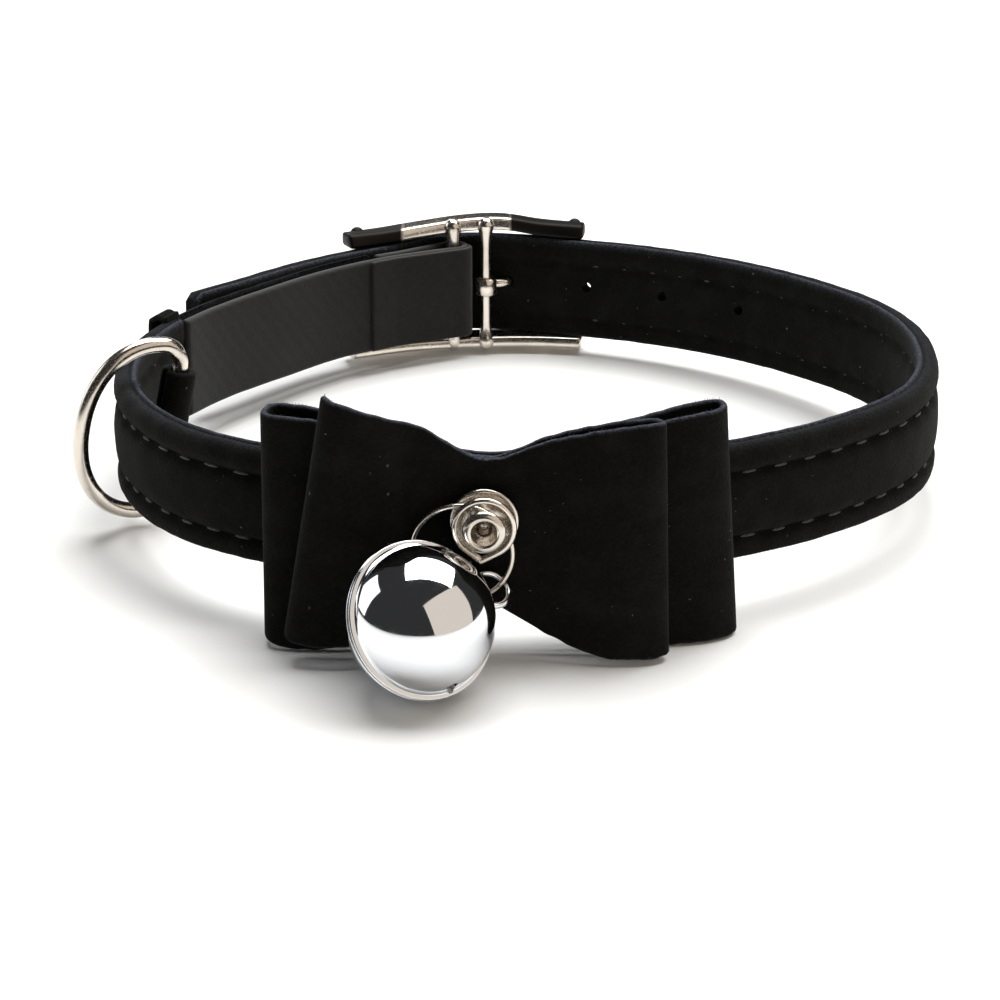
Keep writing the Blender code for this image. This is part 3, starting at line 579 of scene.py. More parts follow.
def tube(path, radius, normal, sides=16, closed=False):
    """A round wire along a flat path; radius may be a function of the share along it."""
    radius_at = radius if callable(radius) else lambda share: radius
    last = len(path) - 1
    stations = [(point, run, radius_at(index / last))
                for index, (point, run) in enumerate(runs_along(path, closed))]
    stations = stations + stations[:1] if closed else with_ends(stations, CAP_STEPS, 1.0)
    normal = normal.normalized()
    spokes = arc(0.0, TURN, sides)

    def place(column, row):
        middle, run, reach = stations[row]
        side = run.cross(normal).normalized()
        along_side, along_normal = spokes[column]
        return middle + (side * along_side + normal * along_normal) * reach, 0.0

    length = sum((two - one).length for one, two in zip(path, path[1:]))
    return shaped_grid(sides, len(stations) - 1, place, (TURN * radius_at(0.5), length))


def turned(profile, direction, at, sides):
    """Spin a profile of radius and height round a direction through a point."""
    shape = bmesh.new()
    spots = [shape.verts.new((radius, 0.0, height)) for radius, height in profile]
    for one, two in zip(spots, spots[1:]):
        shape.edges.new((one, two))
    bmesh.ops.spin(shape, geom=shape.verts[:] + shape.edges[:], cent=(0, 0, 0), axis=(0, 0, 1),
                   dvec=(0, 0, 0), angle=TURN, steps=sides, use_merge=True, use_duplicate=False)
    bmesh.ops.remove_doubles(shape, verts=shape.verts, dist=MERGE)
    bmesh.ops.dissolve_degenerate(shape, dist=MERGE, edges=shape.edges)
    bmesh.ops.recalc_face_normals(shape, faces=shape.faces)
    bmesh.ops.transform(shape, matrix=aimed(direction, at), verts=shape.verts)
    return shape


def joined(shapes):
    """Put several bmesh shapes into the first."""
    first = shapes[0]
    for shape in shapes[1:]:
        mesh = bpy.data.meshes.new("joining")
        shape.to_mesh(mesh)
        shape.free()
        first.from_mesh(mesh)
        bpy.data.meshes.remove(mesh)
    return first


def cloth_rows(width, thickness, faces, cut):
    """Rows round a cloth's section: share across, side of the middle, and share of the cut edge's
    lighter colour, the cut pile with a painted highlight.
    """
    inset = thickness / 2 / width
    rows = []
    # The edge at share 0, the lower edge of the bow and the lining, gets half the cut edge's
    # lighter colour: painted shade, as the light comes from above
    for side, edge_and_highlight in ((1.0, cut), (-1.0, 0.5 * cut)):
        half = [(share, 1.0, 0.0) for share in spaced(inset, 1 - inset, faces)]
        half += [(1 - inset + inset * out, up, edge_and_highlight * out ** 2)
                 for up, out in arc(0.0, math.pi, EDGE_STEPS)[1:-1]]
        rows += [(share if side > 0 else 1 - share, side * height, edge)
                 for share, height, edge in half]
    return rows


def cloth_strip(middle, width, length, thickness, faces, steps, closed, cut=1.0):
    """Cloth of a thickness, with rounded edges, round middle(share across, share along)."""
    rows = cloth_rows(width, thickness, faces, cut)
    if closed:
        stations = [(along, 1.0) for along in spaced(0.0, 1.0, steps)]
    else:
        inset = thickness / 2 / length
        opening = [(inset * (1 - back), wall) for back, wall in arc(0.0, QUARTER, CAP_STEPS)[:-1]]
        between = [(along, 1.0) for along in spaced(inset, 1 - inset, steps)]
        stations = opening + between + [(1 - along, wall) for along, wall in opening[::-1]]
    near = 0.002

    def place(column, row):
        share, side, edge_and_highlight = rows[column % len(rows)]
        along, wall = stations[row]
        across = middle(min(share + near, 1), along) - middle(max(share - near, 0), along)
        if closed:
            run = middle(share, (along + near) % 1) - middle(share, (along - near) % 1)
        else:
            run = middle(share, min(along + near, 1)) - middle(share, max(along - near, 0))
        normal = run.cross(across).normalized()
        return middle(share, along) + normal * (side * wall * thickness / 2), edge_and_highlight

    return shaped_grid(len(rows), len(stations) - 1, place, (2 * (width + thickness), length))


def add_node(made, kind, values):
    """Add a shader node to a material.

    Each value is a setting of the node, an input's value or the socket that feeds an input.
    """
    node = made.node_tree.nodes.new("ShaderNode" + kind)
    for name, value in values.items():
        if isinstance(value, bpy.types.NodeSocket):
            made.node_tree.links.new(value, node.inputs[name])
        elif isinstance(name, int) or name in node.inputs:
            node.inputs[name].default_value = value
        else:
            setattr(node, name, value)
    return node


def material(name):
    """Turn a function that builds a surface into one that gives the material of a name."""
    def wrap(build):
        def get():
            made = bpy.data.materials.get(name)
            if made is None:
                made = bpy.data.materials.new(name)
                made.use_nodes = True
                made.node_tree.nodes.clear()
                add_node(made, "OutputMaterial", {"Surface": build(made)})
            return made
        return get
    return wrap


def colour(values):
    """A colour with full opacity."""
    return (*values, 1.0)


def coordinates(made, kind):
    """Object or UV coordinates."""
    return add_node(made, "TexCoord", {}).outputs[kind]


def cut_edge(made):
    """How much of the cut edge's lighter colour a point gets, 0 to 1: the cut pile with a painted
    highlight.
    """
    return add_node(made, "Attribute", {"attribute_name": "cut_edge"}).outputs["Fac"]


def clouds(made, where, scale, detail, rough=0.5):
    """Soft noise whose patches are about 1 / scale metres wide."""
    return add_node(made, "TexNoise", {"Scale": scale, "Detail": detail, "Roughness": rough,
                                       "Vector": where}).outputs["Fac"]


def rescale(made, value, low, high, to_low=0.0, to_high=1.0):
    """Spread what lies between low and high over another range."""
    return add_node(made, "MapRange", {"From Min": low, "From Max": high, "To Min": to_low,
                                       "To Max": to_high, "Value": value}).outputs["Result"]


def calculate(made, operation, *values):
    """Work out sockets and numbers."""
    return add_node(made, "Math", {"operation": operation, **dict(enumerate(values))}
                    ).outputs["Value"]


def blend(made, share, one, two):
    """Mix two colours, each a socket or linear values."""
    one, two = (value if isinstance(value, bpy.types.NodeSocket) else colour(value)
                for value in (one, two))
    return add_node(made, "Mix", {"data_type": "RGBA", 0: share, 6: one, 7: two}
                    ).outputs["Result"]


def surface(made, values, relief=None, strength=0.0, depth=0.0):
    """A principled shader, over a relief of a depth."""
    if relief is not None:
        bump = add_node(made, "Bump", {"Strength": strength, "Distance": depth,
                                       "Height": relief})
        values["Normal"] = bump.outputs["Normal"]
    return add_node(made, "BsdfPrincipled", values).outputs["BSDF"]


@material("cotton velvet")
def cotton_velvet(made):
    """Cotton velvet: short dense pile, matt and nearly black, lighter where it leans, and lighter
    on its cut edges, which is partly a painted highlight.
    """
    cloth = bpy.context.scene.collar_cloth
    where = coordinates(made, "Object")
    # Tufts about 0.35 mm wide, coarser than real pile so that they show
    tufts = clouds(made, where, 2800.0, 3.0, 0.6)
    # Brushed patches 3 to 6 mm wide
    brushed = clouds(made, where, 240.0, 3.0, 0.55)
    lean = calculate(made, "MULTIPLY_ADD", rescale(made, brushed, 0.42, 0.72), 0.5,
                     rescale(made, tufts, 0.45, 0.75, 0.0, 0.6))
    pile = blend(made, lean, cloth.pile, cloth.brushed_pile)
    # The cut edge's lighter colour, the cut pile with a painted highlight, is broken up by the
    # tufts that lean over it
    tufted_edge_and_highlight = calculate(made, "MULTIPLY", cut_edge(made),
                     rescale(made, tufts, 0.3, 0.62, 0.12, 1.0))
    edged = blend(made, tufted_edge_and_highlight, pile, cloth.cut_edge)
    # Dust and lint specks, about one in 12 mm2
    cells = add_node(made, "TexVoronoi",
                     {"Scale": 420.0, "Randomness": 1.0, "Vector": where}).outputs
    pick = add_node(made, "SeparateColor", {"Color": cells["Color"]}).outputs["Red"]
    lint = calculate(made, "MULTIPLY", rescale(made, cells["Distance"], 0.10, 0.03),
                     rescale(made, pick, 0.72, 0.95, 0.0, 0.5))
    face = blend(made, lint, edged, linear("#7c7d84"))
    return surface(made, {"Base Color": face, "Roughness": 1.0, "Specular IOR Level": 0.05,
                          "Sheen Weight": 0.04, "Sheen Roughness": 0.45,
                          "Sheen Tint": colour((0.85, 0.84, 0.82))},
                   calculate(made, "MULTIPLY_ADD", brushed, 0.5, tufts), 0.7, 0.25 * MM)


@material("brushed twill lining")
def grey_lining_cloth(made):
    """Brushed polyester twill: soft, matt dark grey, with fine slanting ribs."""
    grey = bpy.context.scene.collar_cloth.lining
    where = coordinates(made, "Object")
    # Twill ribs 0.6 mm apart, coarser than real so that they show
    ribs = add_node(made, "TexWave",
                    {"Scale": 260.0, "Distortion": 1.2, "Detail": 1.0,
                     "bands_direction": "DIAGONAL", "Vector": coordinates(made, "UV")})
    nap = clouds(made, where, 1700.0, 4.0, 0.65)
    tone = calculate(made, "MULTIPLY_ADD", clouds(made, where, 170.0, 2.0), 0.35, nap)
    face = blend(made, rescale(made, tone, 0.4, 0.95), [0.72 * value for value in grey],
                 [1.35 * value for value in grey])
    # Lighter grey along the lining's edges: a painted highlight, half as strong on the lower edge
    edged = blend(made, cut_edge(made), face, linear("#4a4a4a"))
    return surface(made, {"Base Color": edged, "Roughness": 0.92, "Specular IOR Level": 0.15,
                          "Sheen Weight": 0.15, "Sheen Roughness": 0.5,
                          "Sheen Tint": colour((0.8, 0.8, 0.82))},
                   calculate(made, "MULTIPLY_ADD", ribs.outputs["Fac"], 0.35, nap),
                   0.45, 0.12 * MM)


@material("spun polyester thread")
def spun_thread(made):
    """Spun polyester thread: dark grey, its plies twisted round each other, with painted shade in
    the grooves between them.
    """
    grey = bpy.context.scene.collar_cloth.thread
    # One twist of the plies every 0.7 mm
    twist = add_node(made, "TexWave",
                     {"Scale": 2.2, "Distortion": 0.0, "bands_direction": "DIAGONAL",
                      "Vector": coordinates(made, "UV")}).outputs["Fac"]
    # Darker in the grooves between the plies: painted shade
    face = blend(made, twist, [0.45 * value for value in grey], grey)
    return surface(made, {"Base Color": face, "Roughness": 0.6, "Specular IOR Level": 0.3,
                          "Sheen Weight": 0.1}, twist, 0.6, 0.08 * MM)


def nickel(made, painted_dark_ends):
    """Nickel-plated zinc and steel: warm white, polished, with faint handling marks."""
    metal = bpy.context.scene.collar_metal
    where = coordinates(made, "Object")
    # Waviness left by casting and tumbling, 2 to 4 mm wide
    wavy = clouds(made, where, 320.0, 2.0)
    base = blend(made, rescale(made, wavy, 0.35, 0.7), metal.nickel,
                 [0.86 * value for value in metal.nickel])
    # Fine scuffs about 0.15 mm wide
    dull = rescale(made, clouds(made, where, 5200.0, 3.0, 0.7), 0.4, 0.75,
                   metal.nickel_roughness * 0.75, metal.nickel_roughness * 1.7)
    if painted_dark_ends:
        # Painted dark reflection: both ends of the upper rail are painted nearly black, with an
        # edge 0.6 mm wide
        place = add_node(made, "SeparateXYZ", {"Vector": where}).outputs
        away = calculate(made, "ABSOLUTE",
                         calculate(made, "SUBTRACT", place["X"], BRIGHT_MID))
        painted_dark_reflection = calculate(made, "MULTIPLY",
                         rescale(made, away, BRIGHT_HALF - 0.3 * MM, BRIGHT_HALF + 0.3 * MM),
                         rescale(made, place["Z"], DARK_ABOVE - 0.2 * MM, DARK_ABOVE + 0.2 * MM))
        base = blend(made, painted_dark_reflection, base, metal.dark_reflection_colour)
        dull = add_node(made, "Mix", {0: painted_dark_reflection, 2: dull, 3: 0.5}).outputs["Result"]
    return surface(made, {"Metallic": 1.0, "Base Color": base, "Roughness": dull},
                   wavy, 0.25, 0.1 * MM)


@material("polished nickel plate")
def nickel_plate(made):
    """Polished nickel plate, clean all over."""
    return nickel(made, False)


@material("nickel plate with painted dark reflection")
def nickel_with_dark_reflection(made):
    """Polished nickel plate with a painted dark reflection on both ends of the buckle's upper
    rail.
    """
    return nickel(made, True)


@material("mirror chrome plate")
def chrome_plate(made):
    """Chrome plate on stamped steel: a cool mirror with slight waves from the press."""
    metal = bpy.context.scene.collar_metal
    where = coordinates(made, "Object")
    dull = rescale(made, clouds(made, where, 900.0, 3.0), 0.45, 0.8, metal.chrome_roughness,
                   metal.chrome_roughness * 3.0)
    # Shallow waves 5 to 8 mm wide, which bend the reflections a little
    return surface(made, {"Metallic": 1.0, "Base Color": colour(metal.chrome),
                          "Roughness": dull}, clouds(made, where, 150.0, 1.0), 0.15, 0.35 * MM)


class COLLAR_OT_strap(bpy.types.Operator):
    """Make the velvet strap with its ribs, puckered stitch channels and holes"""
    bl_idname = "collar.strap"
    bl_label = "Strap"

    def execute(self, context):
        pitch = context.scene.collar_cloth.stitch_pitch
        lengths = plan_lengths(STRAP_START, STRAP_END)
        whole = lengths[-1][0]
        steps = round(whole / STRAP_STEP)
        section = closed_table(STRAP_SECTION)
        columns = 2 * len(STRAP_SECTION)

        def pucker(height, length):
            """How far the thread pulls the cloth in at a height and a length."""
            near = min(abs(height - channel) for channel in CHANNELS)
            pull = 0.5 + 0.5 * math.cos(TURN * length / pitch)
            return math.exp(-(near / PUCKER_WIDTH) ** 2) * (0.12 + 0.28 * pull) * MM

        def place(column, row):
            length = whole * row / steps
            angle = angle_at(lengths, length)
            out, height, cut = (hermite(section, column % columns / 2, field)
                                for field in (1, 2, 3))
            out *= MM
            height *= MM
            if abs(height) < PUCKER_TOP:
                out -= math.copysign(pucker(height, length), out) * (1.0 if out > 0 else 0.6)
            flat = pressed(angle)
            out = out * (1 - flat) + min(max(out, -PRESSED_OUT), PRESSED_OUT) * flat
            if angle < LINING_END + 0.6:
                # Up to here the lining takes the place of the strap's inner ply
                out = max(out, 0.05 * MM + 0.1 * MM * abs(height) / STRAP_HALF)
            point = Vector((angle * MM, out, height))
            if flat < 0.5:
                out += 0.07 * MM * ragged(point, 3.0 * MM, 1)
                height += 0.08 * MM * ragged(point, 2.2 * MM, 2)
            scale = hermite(STRAP_TIPS, min(min(length, whole - length) / TIP_LENGTH, 1.0))
            return band_point(angle, out * scale, height * scale), cut

        cutters = []
        for angle in HOLES:
            at = band_point(angle, 0.0, HOLE_LIFT)
            way = band_point(angle, 1.0 * MM, HOLE_LIFT) - at
            cutters.append(peg(at, way, HOLE_RADIUS, 6 * MM, 20))
        cutters.append(tube(tongue_path(30), TONGUE_HOLE, Vector((0, 0, 1)), 12))
        shape = shaped_grid(columns, steps, place, (0.036, whole))
        add_piece("strap_velvet", shape, cotton_velvet(), slot="velvet", stands_for=("strap",),
                  smooth=50.0, cutters=cutters, flat=(2 * STRAP_HALF, whole), held="laid",
                  rests_on=["bow_back_cloth", "buckle_casting"])
        return {"FINISHED"}


class COLLAR_OT_stitches(bpy.types.Operator):
    """Sew the two rows of stitches along both faces of the strap"""
    bl_idname = "collar.stitches"
    bl_label = "Stitches"

    def execute(self, context):
        cloth = context.scene.collar_cloth
        lengths = plan_lengths(STRAP_START, STRAP_END)
        angles = [angle_at(lengths, (number + 0.5) * cloth.stitch_pitch)
                  for number in range(int(lengths[-1][0] / cloth.stitch_pitch))]
        # None at the tongue's hole, nor where the strap is pressed flat
        sewn = [angle for angle in angles
                if abs(angle - HOLES[-1]) >= 1.2 and pressed(angle) <= 0.3]
        chance = random.Random(SEED)
        shapes = bmesh.new()
        shapes.loops.layers.uv.new("cloth")
        for face, depth, shown, first in STITCH_FACES:
            places = [(channel, angle) for channel in CHANNELS
                      for angle in sewn if angle >= first]
            for channel, angle in places:
                height = channel + chance.uniform(-0.1, 0.1) * MM
                out = face * (depth + chance.uniform(-0.04, 0.04) * MM)
                middle = band_point(angle, out, height)
                ahead = band_point(angle + 1.0, out, height) - middle
                askew = Matrix.Rotation(chance.uniform(-0.06, 0.06), 4, "X")
                turn = ahead.to_track_quat("X", "Z").to_matrix().to_4x4() @ askew
                long = shown * cloth.stitch_length / 2 * chance.uniform(0.85, 1.05)
                size = Matrix.Diagonal((long, cloth.thread_radius,
                                        cloth.thread_radius * 1.1, 1.0))
                bmesh.ops.create_uvsphere(
                    shapes, u_segments=8, v_segments=6, radius=1.0, calc_uvs=True,
                    matrix=Matrix.Translation(middle) @ turn @ size
                    @ Matrix.Rotation(math.pi / 2, 4, "Y"))
        bmesh.ops.recalc_face_normals(shapes, faces=shapes.faces)
        add_piece("stitches", shapes, spun_thread(), slot="velvet", smooth=60.0)
        return {"FINISHED"}


def bar_point(degrees, reach):
    """A point of the plan beside the buckle's strap bar."""
    turn = math.radians(degrees)
    return (STRAP_BAR + Vector((math.cos(turn), math.sin(turn))) * reach).to_3d()


def lining_piece(name, path, half, wall, steps, wave, rests_on, stands_for=()):
    """A lining cloth that stands on its edge along a path of the plan."""
    rows = [(0.0, path[0].x, path[0].y)]
    for one, two in zip(path, path[1:]):
        rows.append((rows[-1][0] + (two - one).length, two.x, two.y))
    whole = rows[-1][0]

    def middle(share, along):
        spot = Vector((hermite(rows, along * whole, 1), hermite(rows, along * whole, 2),
                       -half + 2 * half * share))
        spot.z += wave * ragged(spot, 6.0 * MM, 5)
        return BAND @ spot

    add_piece(name, cloth_strip(middle, 2 * half, whole, wall, 14, steps, False),
              grey_lining_cloth(), slot="lining", stands_for=stands_for, smooth=50.0,
              flat=(2 * half, whole), held="folded", rests_on=rests_on)


class COLLAR_OT_lining(bpy.types.Operator):
    """Make the grey lining, folded round the buckle's strap bar, and its turned-back flap"""
    bl_idname = "collar.lining"
    bl_label = "Lining"

    def execute(self, context):
        reach = BAR_RADIUS + 0.2 * MM + LINING_WALL / 2
        path = (plan_path(LINING_END, 112.0, LINING_OUT, 40)
                + [bar_point(turn, reach) for turn in spaced(-72.0, 104.0, 12)]
                + plan_path(109.5, 114.4, -LINING_OUT, 3))
        lining_piece("lining_strip", path, LINING_HALF, LINING_WALL, 130, 0.1 * MM,
                     ["strap_velvet", "buckle_casting"], ("grey_lining",))

        # The end that comes back round the bar lies on the inside, up to a cut edge
        reach += LINING_WALL / 2
        path = plan_path(117.2, 112.0, -(1.5 * MM + FLAP_WALL / 2), 5) + [
            bar_point(-72.0 + 100.0 * share,
                      reach + FLAP_WALL * (0.5 - 1.2 * ramp(share, 0.5, 1.0)))
            for share in spaced(0.0, 1.0, 7)]
        lining_piece("lining_flap", path, FLAP_HALF, FLAP_WALL, 40, 0.0, ["lining_strip"])
        return {"FINISHED"}


class COLLAR_OT_keeper(bpy.types.Operator):
    """Make the velvet keeper loop and the velvet fold that holds the D-ring"""
    bl_idname = "collar.keeper"
    bl_label = "Keeper and ring fold"

    def execute(self, context):
        start, end = KEEPER_ANGLES
        table = closed_table(KEEPER_OUTLINE)
        width = (band_point(end, 0, 0) - band_point(start, 0, 0)).length

        def middle(share, along):
            at = (1 - along % 1) * len(KEEPER_OUTLINE)
            return band_point(start + (end - start) * share, hermite(table, at, 1) * MM,
                              hermite(table, at, 2) * MM)

        shape = cloth_strip(middle, width, KEEPER_FLAT[1], 0.7 * MM, 8, 72, True, 0.15)
        add_piece("keeper_velvet", shape, cotton_velvet(), slot="velvet",
                  stands_for=("keeper_loop",), smooth=50.0, flat=KEEPER_FLAT,
                  area=KEEPER_FLAT[0] * KEEPER_FLAT[1] * 0.45, held="folded",
                  rests_on=["strap_velvet"])

        hinge = ring_frame()
        radius = RING_WIRE + 0.25 * MM + RING_FOLD_WALL / 2

        def fold(share, along):
            turn = math.radians(10.0 + 340.0 * along)
            return hinge @ Vector((radius * math.cos(turn), radius * math.sin(turn),
                                   -RING_FOLD_HALF + 2 * RING_FOLD_HALF * share))

        flat = (2 * RING_FOLD_HALF, radius * math.radians(340.0))
        shape = cloth_strip(fold, *flat, RING_FOLD_WALL, 14, 40, False, 0.1)
        add_piece("ring_fold", shape, cotton_velvet(), slot="velvet",
                  stands_for=("d_ring_tab",), smooth=50.0, flat=flat, held="folded",
                  rests_on=["ring_wire"])
        return {"FINISHED"}


def ring_frame():
    """The D-ring's frame at rest: its bar along Z, its arch towards +X."""
    roll, lean, heading = RING_TURN
    return (LOOP @ Matrix.Translation(RING_BAR) @ Matrix.Rotation(heading, 4, "Z")
            @ Matrix.Rotation(lean, 4, "Y") @ Matrix.Rotation(roll, 4, "X"))


class COLLAR_OT_d_ring(bpy.types.Operator):
    """Bend the D-ring from one nickel wire"""
    bl_idname = "collar.d_ring"
    bl_label = "D-ring"

    def execute(self, context):
        upper = [(RING_CORNER * (1 - out), RING_HALF - RING_CORNER * (1 - rise))
                 for out, rise in arc(0.0, QUARTER, 8)[:-1]]
        upper += [(RING_CORNER + (RING_REACH - RING_CORNER) * out ** (2 / RING_POWER),
                   RING_HALF * rise ** (2 / RING_POWER))
                  for out, rise in arc(QUARTER, 0.0, 24)[:-1]]
        lower = [(out, -rise) for out, rise in reversed(upper)]
        bar = [(0.0, (RING_HALF - RING_CORNER) * share)
               for share in (-0.66, -0.33, 0.0, 0.33, 0.66)]
        hinge = ring_frame()
        path = [hinge @ Vector((out, 0.0, rise))
                for out, rise in upper + [(RING_REACH, 0.0)] + lower + bar]
        normal = hinge.to_3x3() @ Vector((0, 1, 0))
        add_piece("ring_wire", tube(path, RING_WIRE, normal, 28, True), nickel_plate(),
                  body="d_ring", slot="nickel", stands_for=("d_ring",))
        return {"FINISHED"}


class COLLAR_OT_buckle(bpy.types.Operator):
    """Make the cast buckle frame and its tongue"""
    bl_idname = "collar.buckle"
    bl_label = "Buckle"

    def execute(self, context):
        up = BAND.to_3x3() @ Vector((0, 0, 1))
        high = [Vector(row) * MM for row in smooth_path(RAIL_PATH, 48)]
        low = [Vector((spot.x, spot.y - LOW_RAIL_IN, LOW_RAIL_MID)) for spot in high]
        shapes = [rail(low, up, LOW_RAIL_DEPTH, LOW_RAIL_TALL, LOW_RAIL_LEAN),
                  rail(high, up, RAIL_DEPTH, RAIL_TALL, RAIL_LEAN)]
        for spot, radius, top, wide in BARS:
            tall = top - LOW_RAIL_MID
            path = [BAND @ Vector((spot.x, spot.y, height))
                    for height in spaced(LOW_RAIL_MID, top, 24)]

            def flare(share, radius=radius, tall=tall, wide=wide):
                foot = min(share, 1 - share) * tall
                return radius * (1 + wide * max(0.0, 1 - foot / FLARE_TALL) ** 2)

            shapes.append(tube(path, flare, Vector((1, 0, 0)), 20))
        add_piece("buckle_casting", joined(shapes), nickel_with_dark_reflection(), slot="nickel",
                  stands_for=("buckle_frame",), smooth=45.0)

        def taper(share):
            return (0.72 - 0.2 * ramp(share, 0.55, 1.0)) * MM

        at = BAND @ Vector((PRONG_BAR.x, PRONG_BAR.y, TONGUE_HEIGHT))
        sleeve = turned([(radius * MM, height * MM) for radius, height in SLEEVE], up, at, 40)
        tongue = tube(tongue_path(60), taper, up, 20)
        add_piece("buckle_tongue", joined([sleeve, tongue]), nickel_plate(), slot="nickel",
                  stands_for=("buckle_prong",), smooth=45.0)
        return {"FINISHED"}


def rail(path, up, depth, tall, leans):
    """A cast rail with soft corners, rounded ends and a near face that leans back."""
    last = len(path) - 1
    path = [BAND @ spot for spot in path]
    stations = with_ends([(point, run, 1.0, hermite(leans, index / last) * MM)
                          for index, (point, run) in enumerate(runs_along(path))],
                         5, 0.5 * MM, 0.6)
    # A circle drawn out towards the corners of a square
    section = [[math.copysign(abs(value) ** RAIL_SOFTNESS, value) for value in pair]
               for pair in arc(0.0, TURN, RAIL_SIDES)]

    def place(column, row):
        middle, run, scale, lean = stations[row]
        side = run.cross(up).normalized()
        aside, above = section[column]
        out = aside * depth / 2
        if aside > 0:
            out -= lean * aside * (0.5 + 0.5 * above)
        return middle + (side * out + up * (above * tall / 2)) * scale, 0.0

    return shaped_grid(RAIL_SIDES, len(stations) - 1, place, (0.011, 0.037))


class COLLAR_OT_bow(bpy.types.Operator):
    """Fold the two velvet loops of the bow and pinch them at the rivet"""
    bl_idname = "collar.bow"
    bl_label = "Bow"

    def execute(self, context):
        rows = (("bow_back", BOW_BACK, BOW_BACK_FLAT, 11, "strap_velvet"),
                ("bow_front", BOW_FRONT, BOW_FRONT_FLAT, 17, "bow_back_cloth"))
        for node, rest, flat, seed, under in rows:
            table = closed_table(rest)

            def middle(share, along, table=table, around=len(rest), seed=seed):
                at = along % 1 * around
                ends = [hermite(table, at, column) * MM for column in range(1, 7)]
                spot = Vector([low + (high - low) * share
                               for low, high in zip(ends[::2], ends[1::2])])
                near = math.exp(-((spot.x - RIVET_AT.x) / PINCH_WIDTH) ** 2)
                spot.y += PLEAT_DEPTH * near * math.cos(TURN * PLEATS * share)
                edge = ramp(abs(share - 0.5), 0.35, 0.5)
                spot.z += CLOTH_WAVE * edge * ragged(spot, 1.6 * MM, seed)
                level = Vector((spot.x, 0, spot.z))
                spot.y += CLOTH_WAVE * (1 - near) * ragged(level, 9 * MM, seed)
                return LOOP @ spot

            shape = cloth_strip(middle, *flat, BOW_WALL, 26, 200, True)
            for spot in shape.verts:
                spot.co.z = max(spot.co.z, 0.0)
            hole = peg(LOOP @ (RIVET_AT + Vector((0, 4 * MM, 0))), FORWARD, BOW_HOLE, 16 * MM, 24)
            add_piece(node + "_cloth", shape, cotton_velvet(), slot="bow_velvet",
                      stands_for=(node,), smooth=50.0, cutters=[hole], flat=flat,
                      held="gathered", rests_on=[under], with_pieces=[])
        return {"FINISHED"}


def circle(middle, one, two, steps):
    """Points round a circle that starts at one spoke and turns towards the other."""
    return [LOOP @ (middle + one * along_one + two * along_two)
            for along_one, along_two in arc(0.0, TURN, steps)[:-1]]


class COLLAR_OT_rivet(bpy.types.Operator):
    """Turn the dished rivet and bend the bail and the jump ring"""
    bl_idname = "collar.rivet"
    bl_label = "Rivet, bail and jump ring"

    def execute(self, context):
        profile = [(radius * MM, height * MM) for radius, height in RIVET_PROFILE]
        head = smooth_path(profile[:-RIVET_FOOT], 110)
        head[0] = profile[0]
        shape = turned(head + profile[-RIVET_FOOT:], FORWARD, LOOP @ RIVET_AT, 96)
        add_piece("rivet_turned", shape, nickel_plate(), slot="nickel", stands_for=("rivet",),
                  smooth=50.0)

        path = [Vector((BAIL_RING * aside, 0.0, BAIL_RING * above))
                for aside, above in arc(math.radians(-50.0), math.radians(230.0), 48)]
        tip = Vector((0, 0, -BAIL_POINT))
        path += ([path[-1].lerp(tip, share) for share in (0.3, 0.6, 0.85, 1.0)]
                 + [path[0].lerp(tip, share) for share in (0.85, 0.6, 0.3)])
        place = (LOOP @ Matrix.Translation((RIVET_AT.x, BAIL_Y, RIVET_AT.z))
                 @ Matrix.Rotation(BAIL_SPIN, 4, "Y"))
        shape = tube([place @ point for point in path], BAIL_WIRE, -FORWARD, 18, True)
        add_piece("bail_wire", shape, nickel_plate(), slot="nickel", stands_for=("bail",))

        middle, normal = jump_circle()
        start = JUMP_TOP - middle
        path = circle(middle, start, normal.cross(start), 96)
        add_piece("jump_ring_wire", tube(path, JUMP_WIRE, normal, 16, True), nickel_plate(),
                  slot="nickel", stands_for=("jump_ring",))
        return {"FINISHED"}


def jump_circle():
    """The middle and the axis of the circle through the jump ring's three points."""
    one = JUMP_LEFT - JUMP_TOP
    two = JUMP_EYE - JUMP_TOP
    normal = one.cross(two)
    middle = JUMP_TOP + (two.length_squared * normal.cross(one)
                         + one.length_squared * two.cross(normal)) / (2 * normal.length_squared)
    return middle, normal.normalized()


def bell_profile():
    """Half a hollow ball with a rounded rim, as radius and height above the seam."""
    inside = BELL_RADIUS - BELL_WALL
    top = BELL_SEAM + BELL_RIM_TALL
    rows = [(0.0, BELL_RADIUS)]
    rows += [(BELL_RADIUS * out, BELL_RADIUS * up) for out, up in arc(QUARTER, 0.0, 44)[1:]
             if BELL_RADIUS * up >= top + BELL_FILLET]
    rows += [(BELL_RADIUS + 0.02 * MM, top + BELL_FILLET * 0.7),
             (BELL_RADIUS + 0.1 * MM, top + BELL_FILLET * 0.25),
             (BELL_RADIUS + BELL_FILLET, top)]
    soft = BELL_RIM_TALL / 2
    rows += [(BELL_RADIUS + BELL_RIM - soft + soft * out, BELL_SEAM + soft * (1 + up))
             for out, up in arc(QUARTER, -QUARTER, 8)]
    rows.append((inside, BELL_SEAM))
    rows += [(inside * out, inside * up) for out, up in arc(0.0, QUARTER, 20)[1:-1]]
    rows.append((0.0, inside))
    return rows


def slit_cutters():
    """Two bars bent over the bell's mouth, with a round end at each tip."""
    first = (SLIT_END - BELL_MOUTH * SLIT_END.dot(BELL_MOUTH)).normalized()
    span = SLIT_END.angle(BELL_MOUTH)
    cutters = []
    for across in (first, BELL_MOUTH.cross(first)):
        ways = [BELL_MOUTH * ahead + across * aside for ahead, aside in arc(-span, span, 24)]
        path = [LOOP @ (BELL_MID + way * BELL_RADIUS) for way in ways]
        cutters.append(tube(path, SLIT_WIDTH / 2, BELL_MOUTH.cross(across), 16))
        cutters += [peg(path[end], ways[end], SLIT_HOLE, 2.2 * MM, 32) for end in (0, -1)]
    return cutters


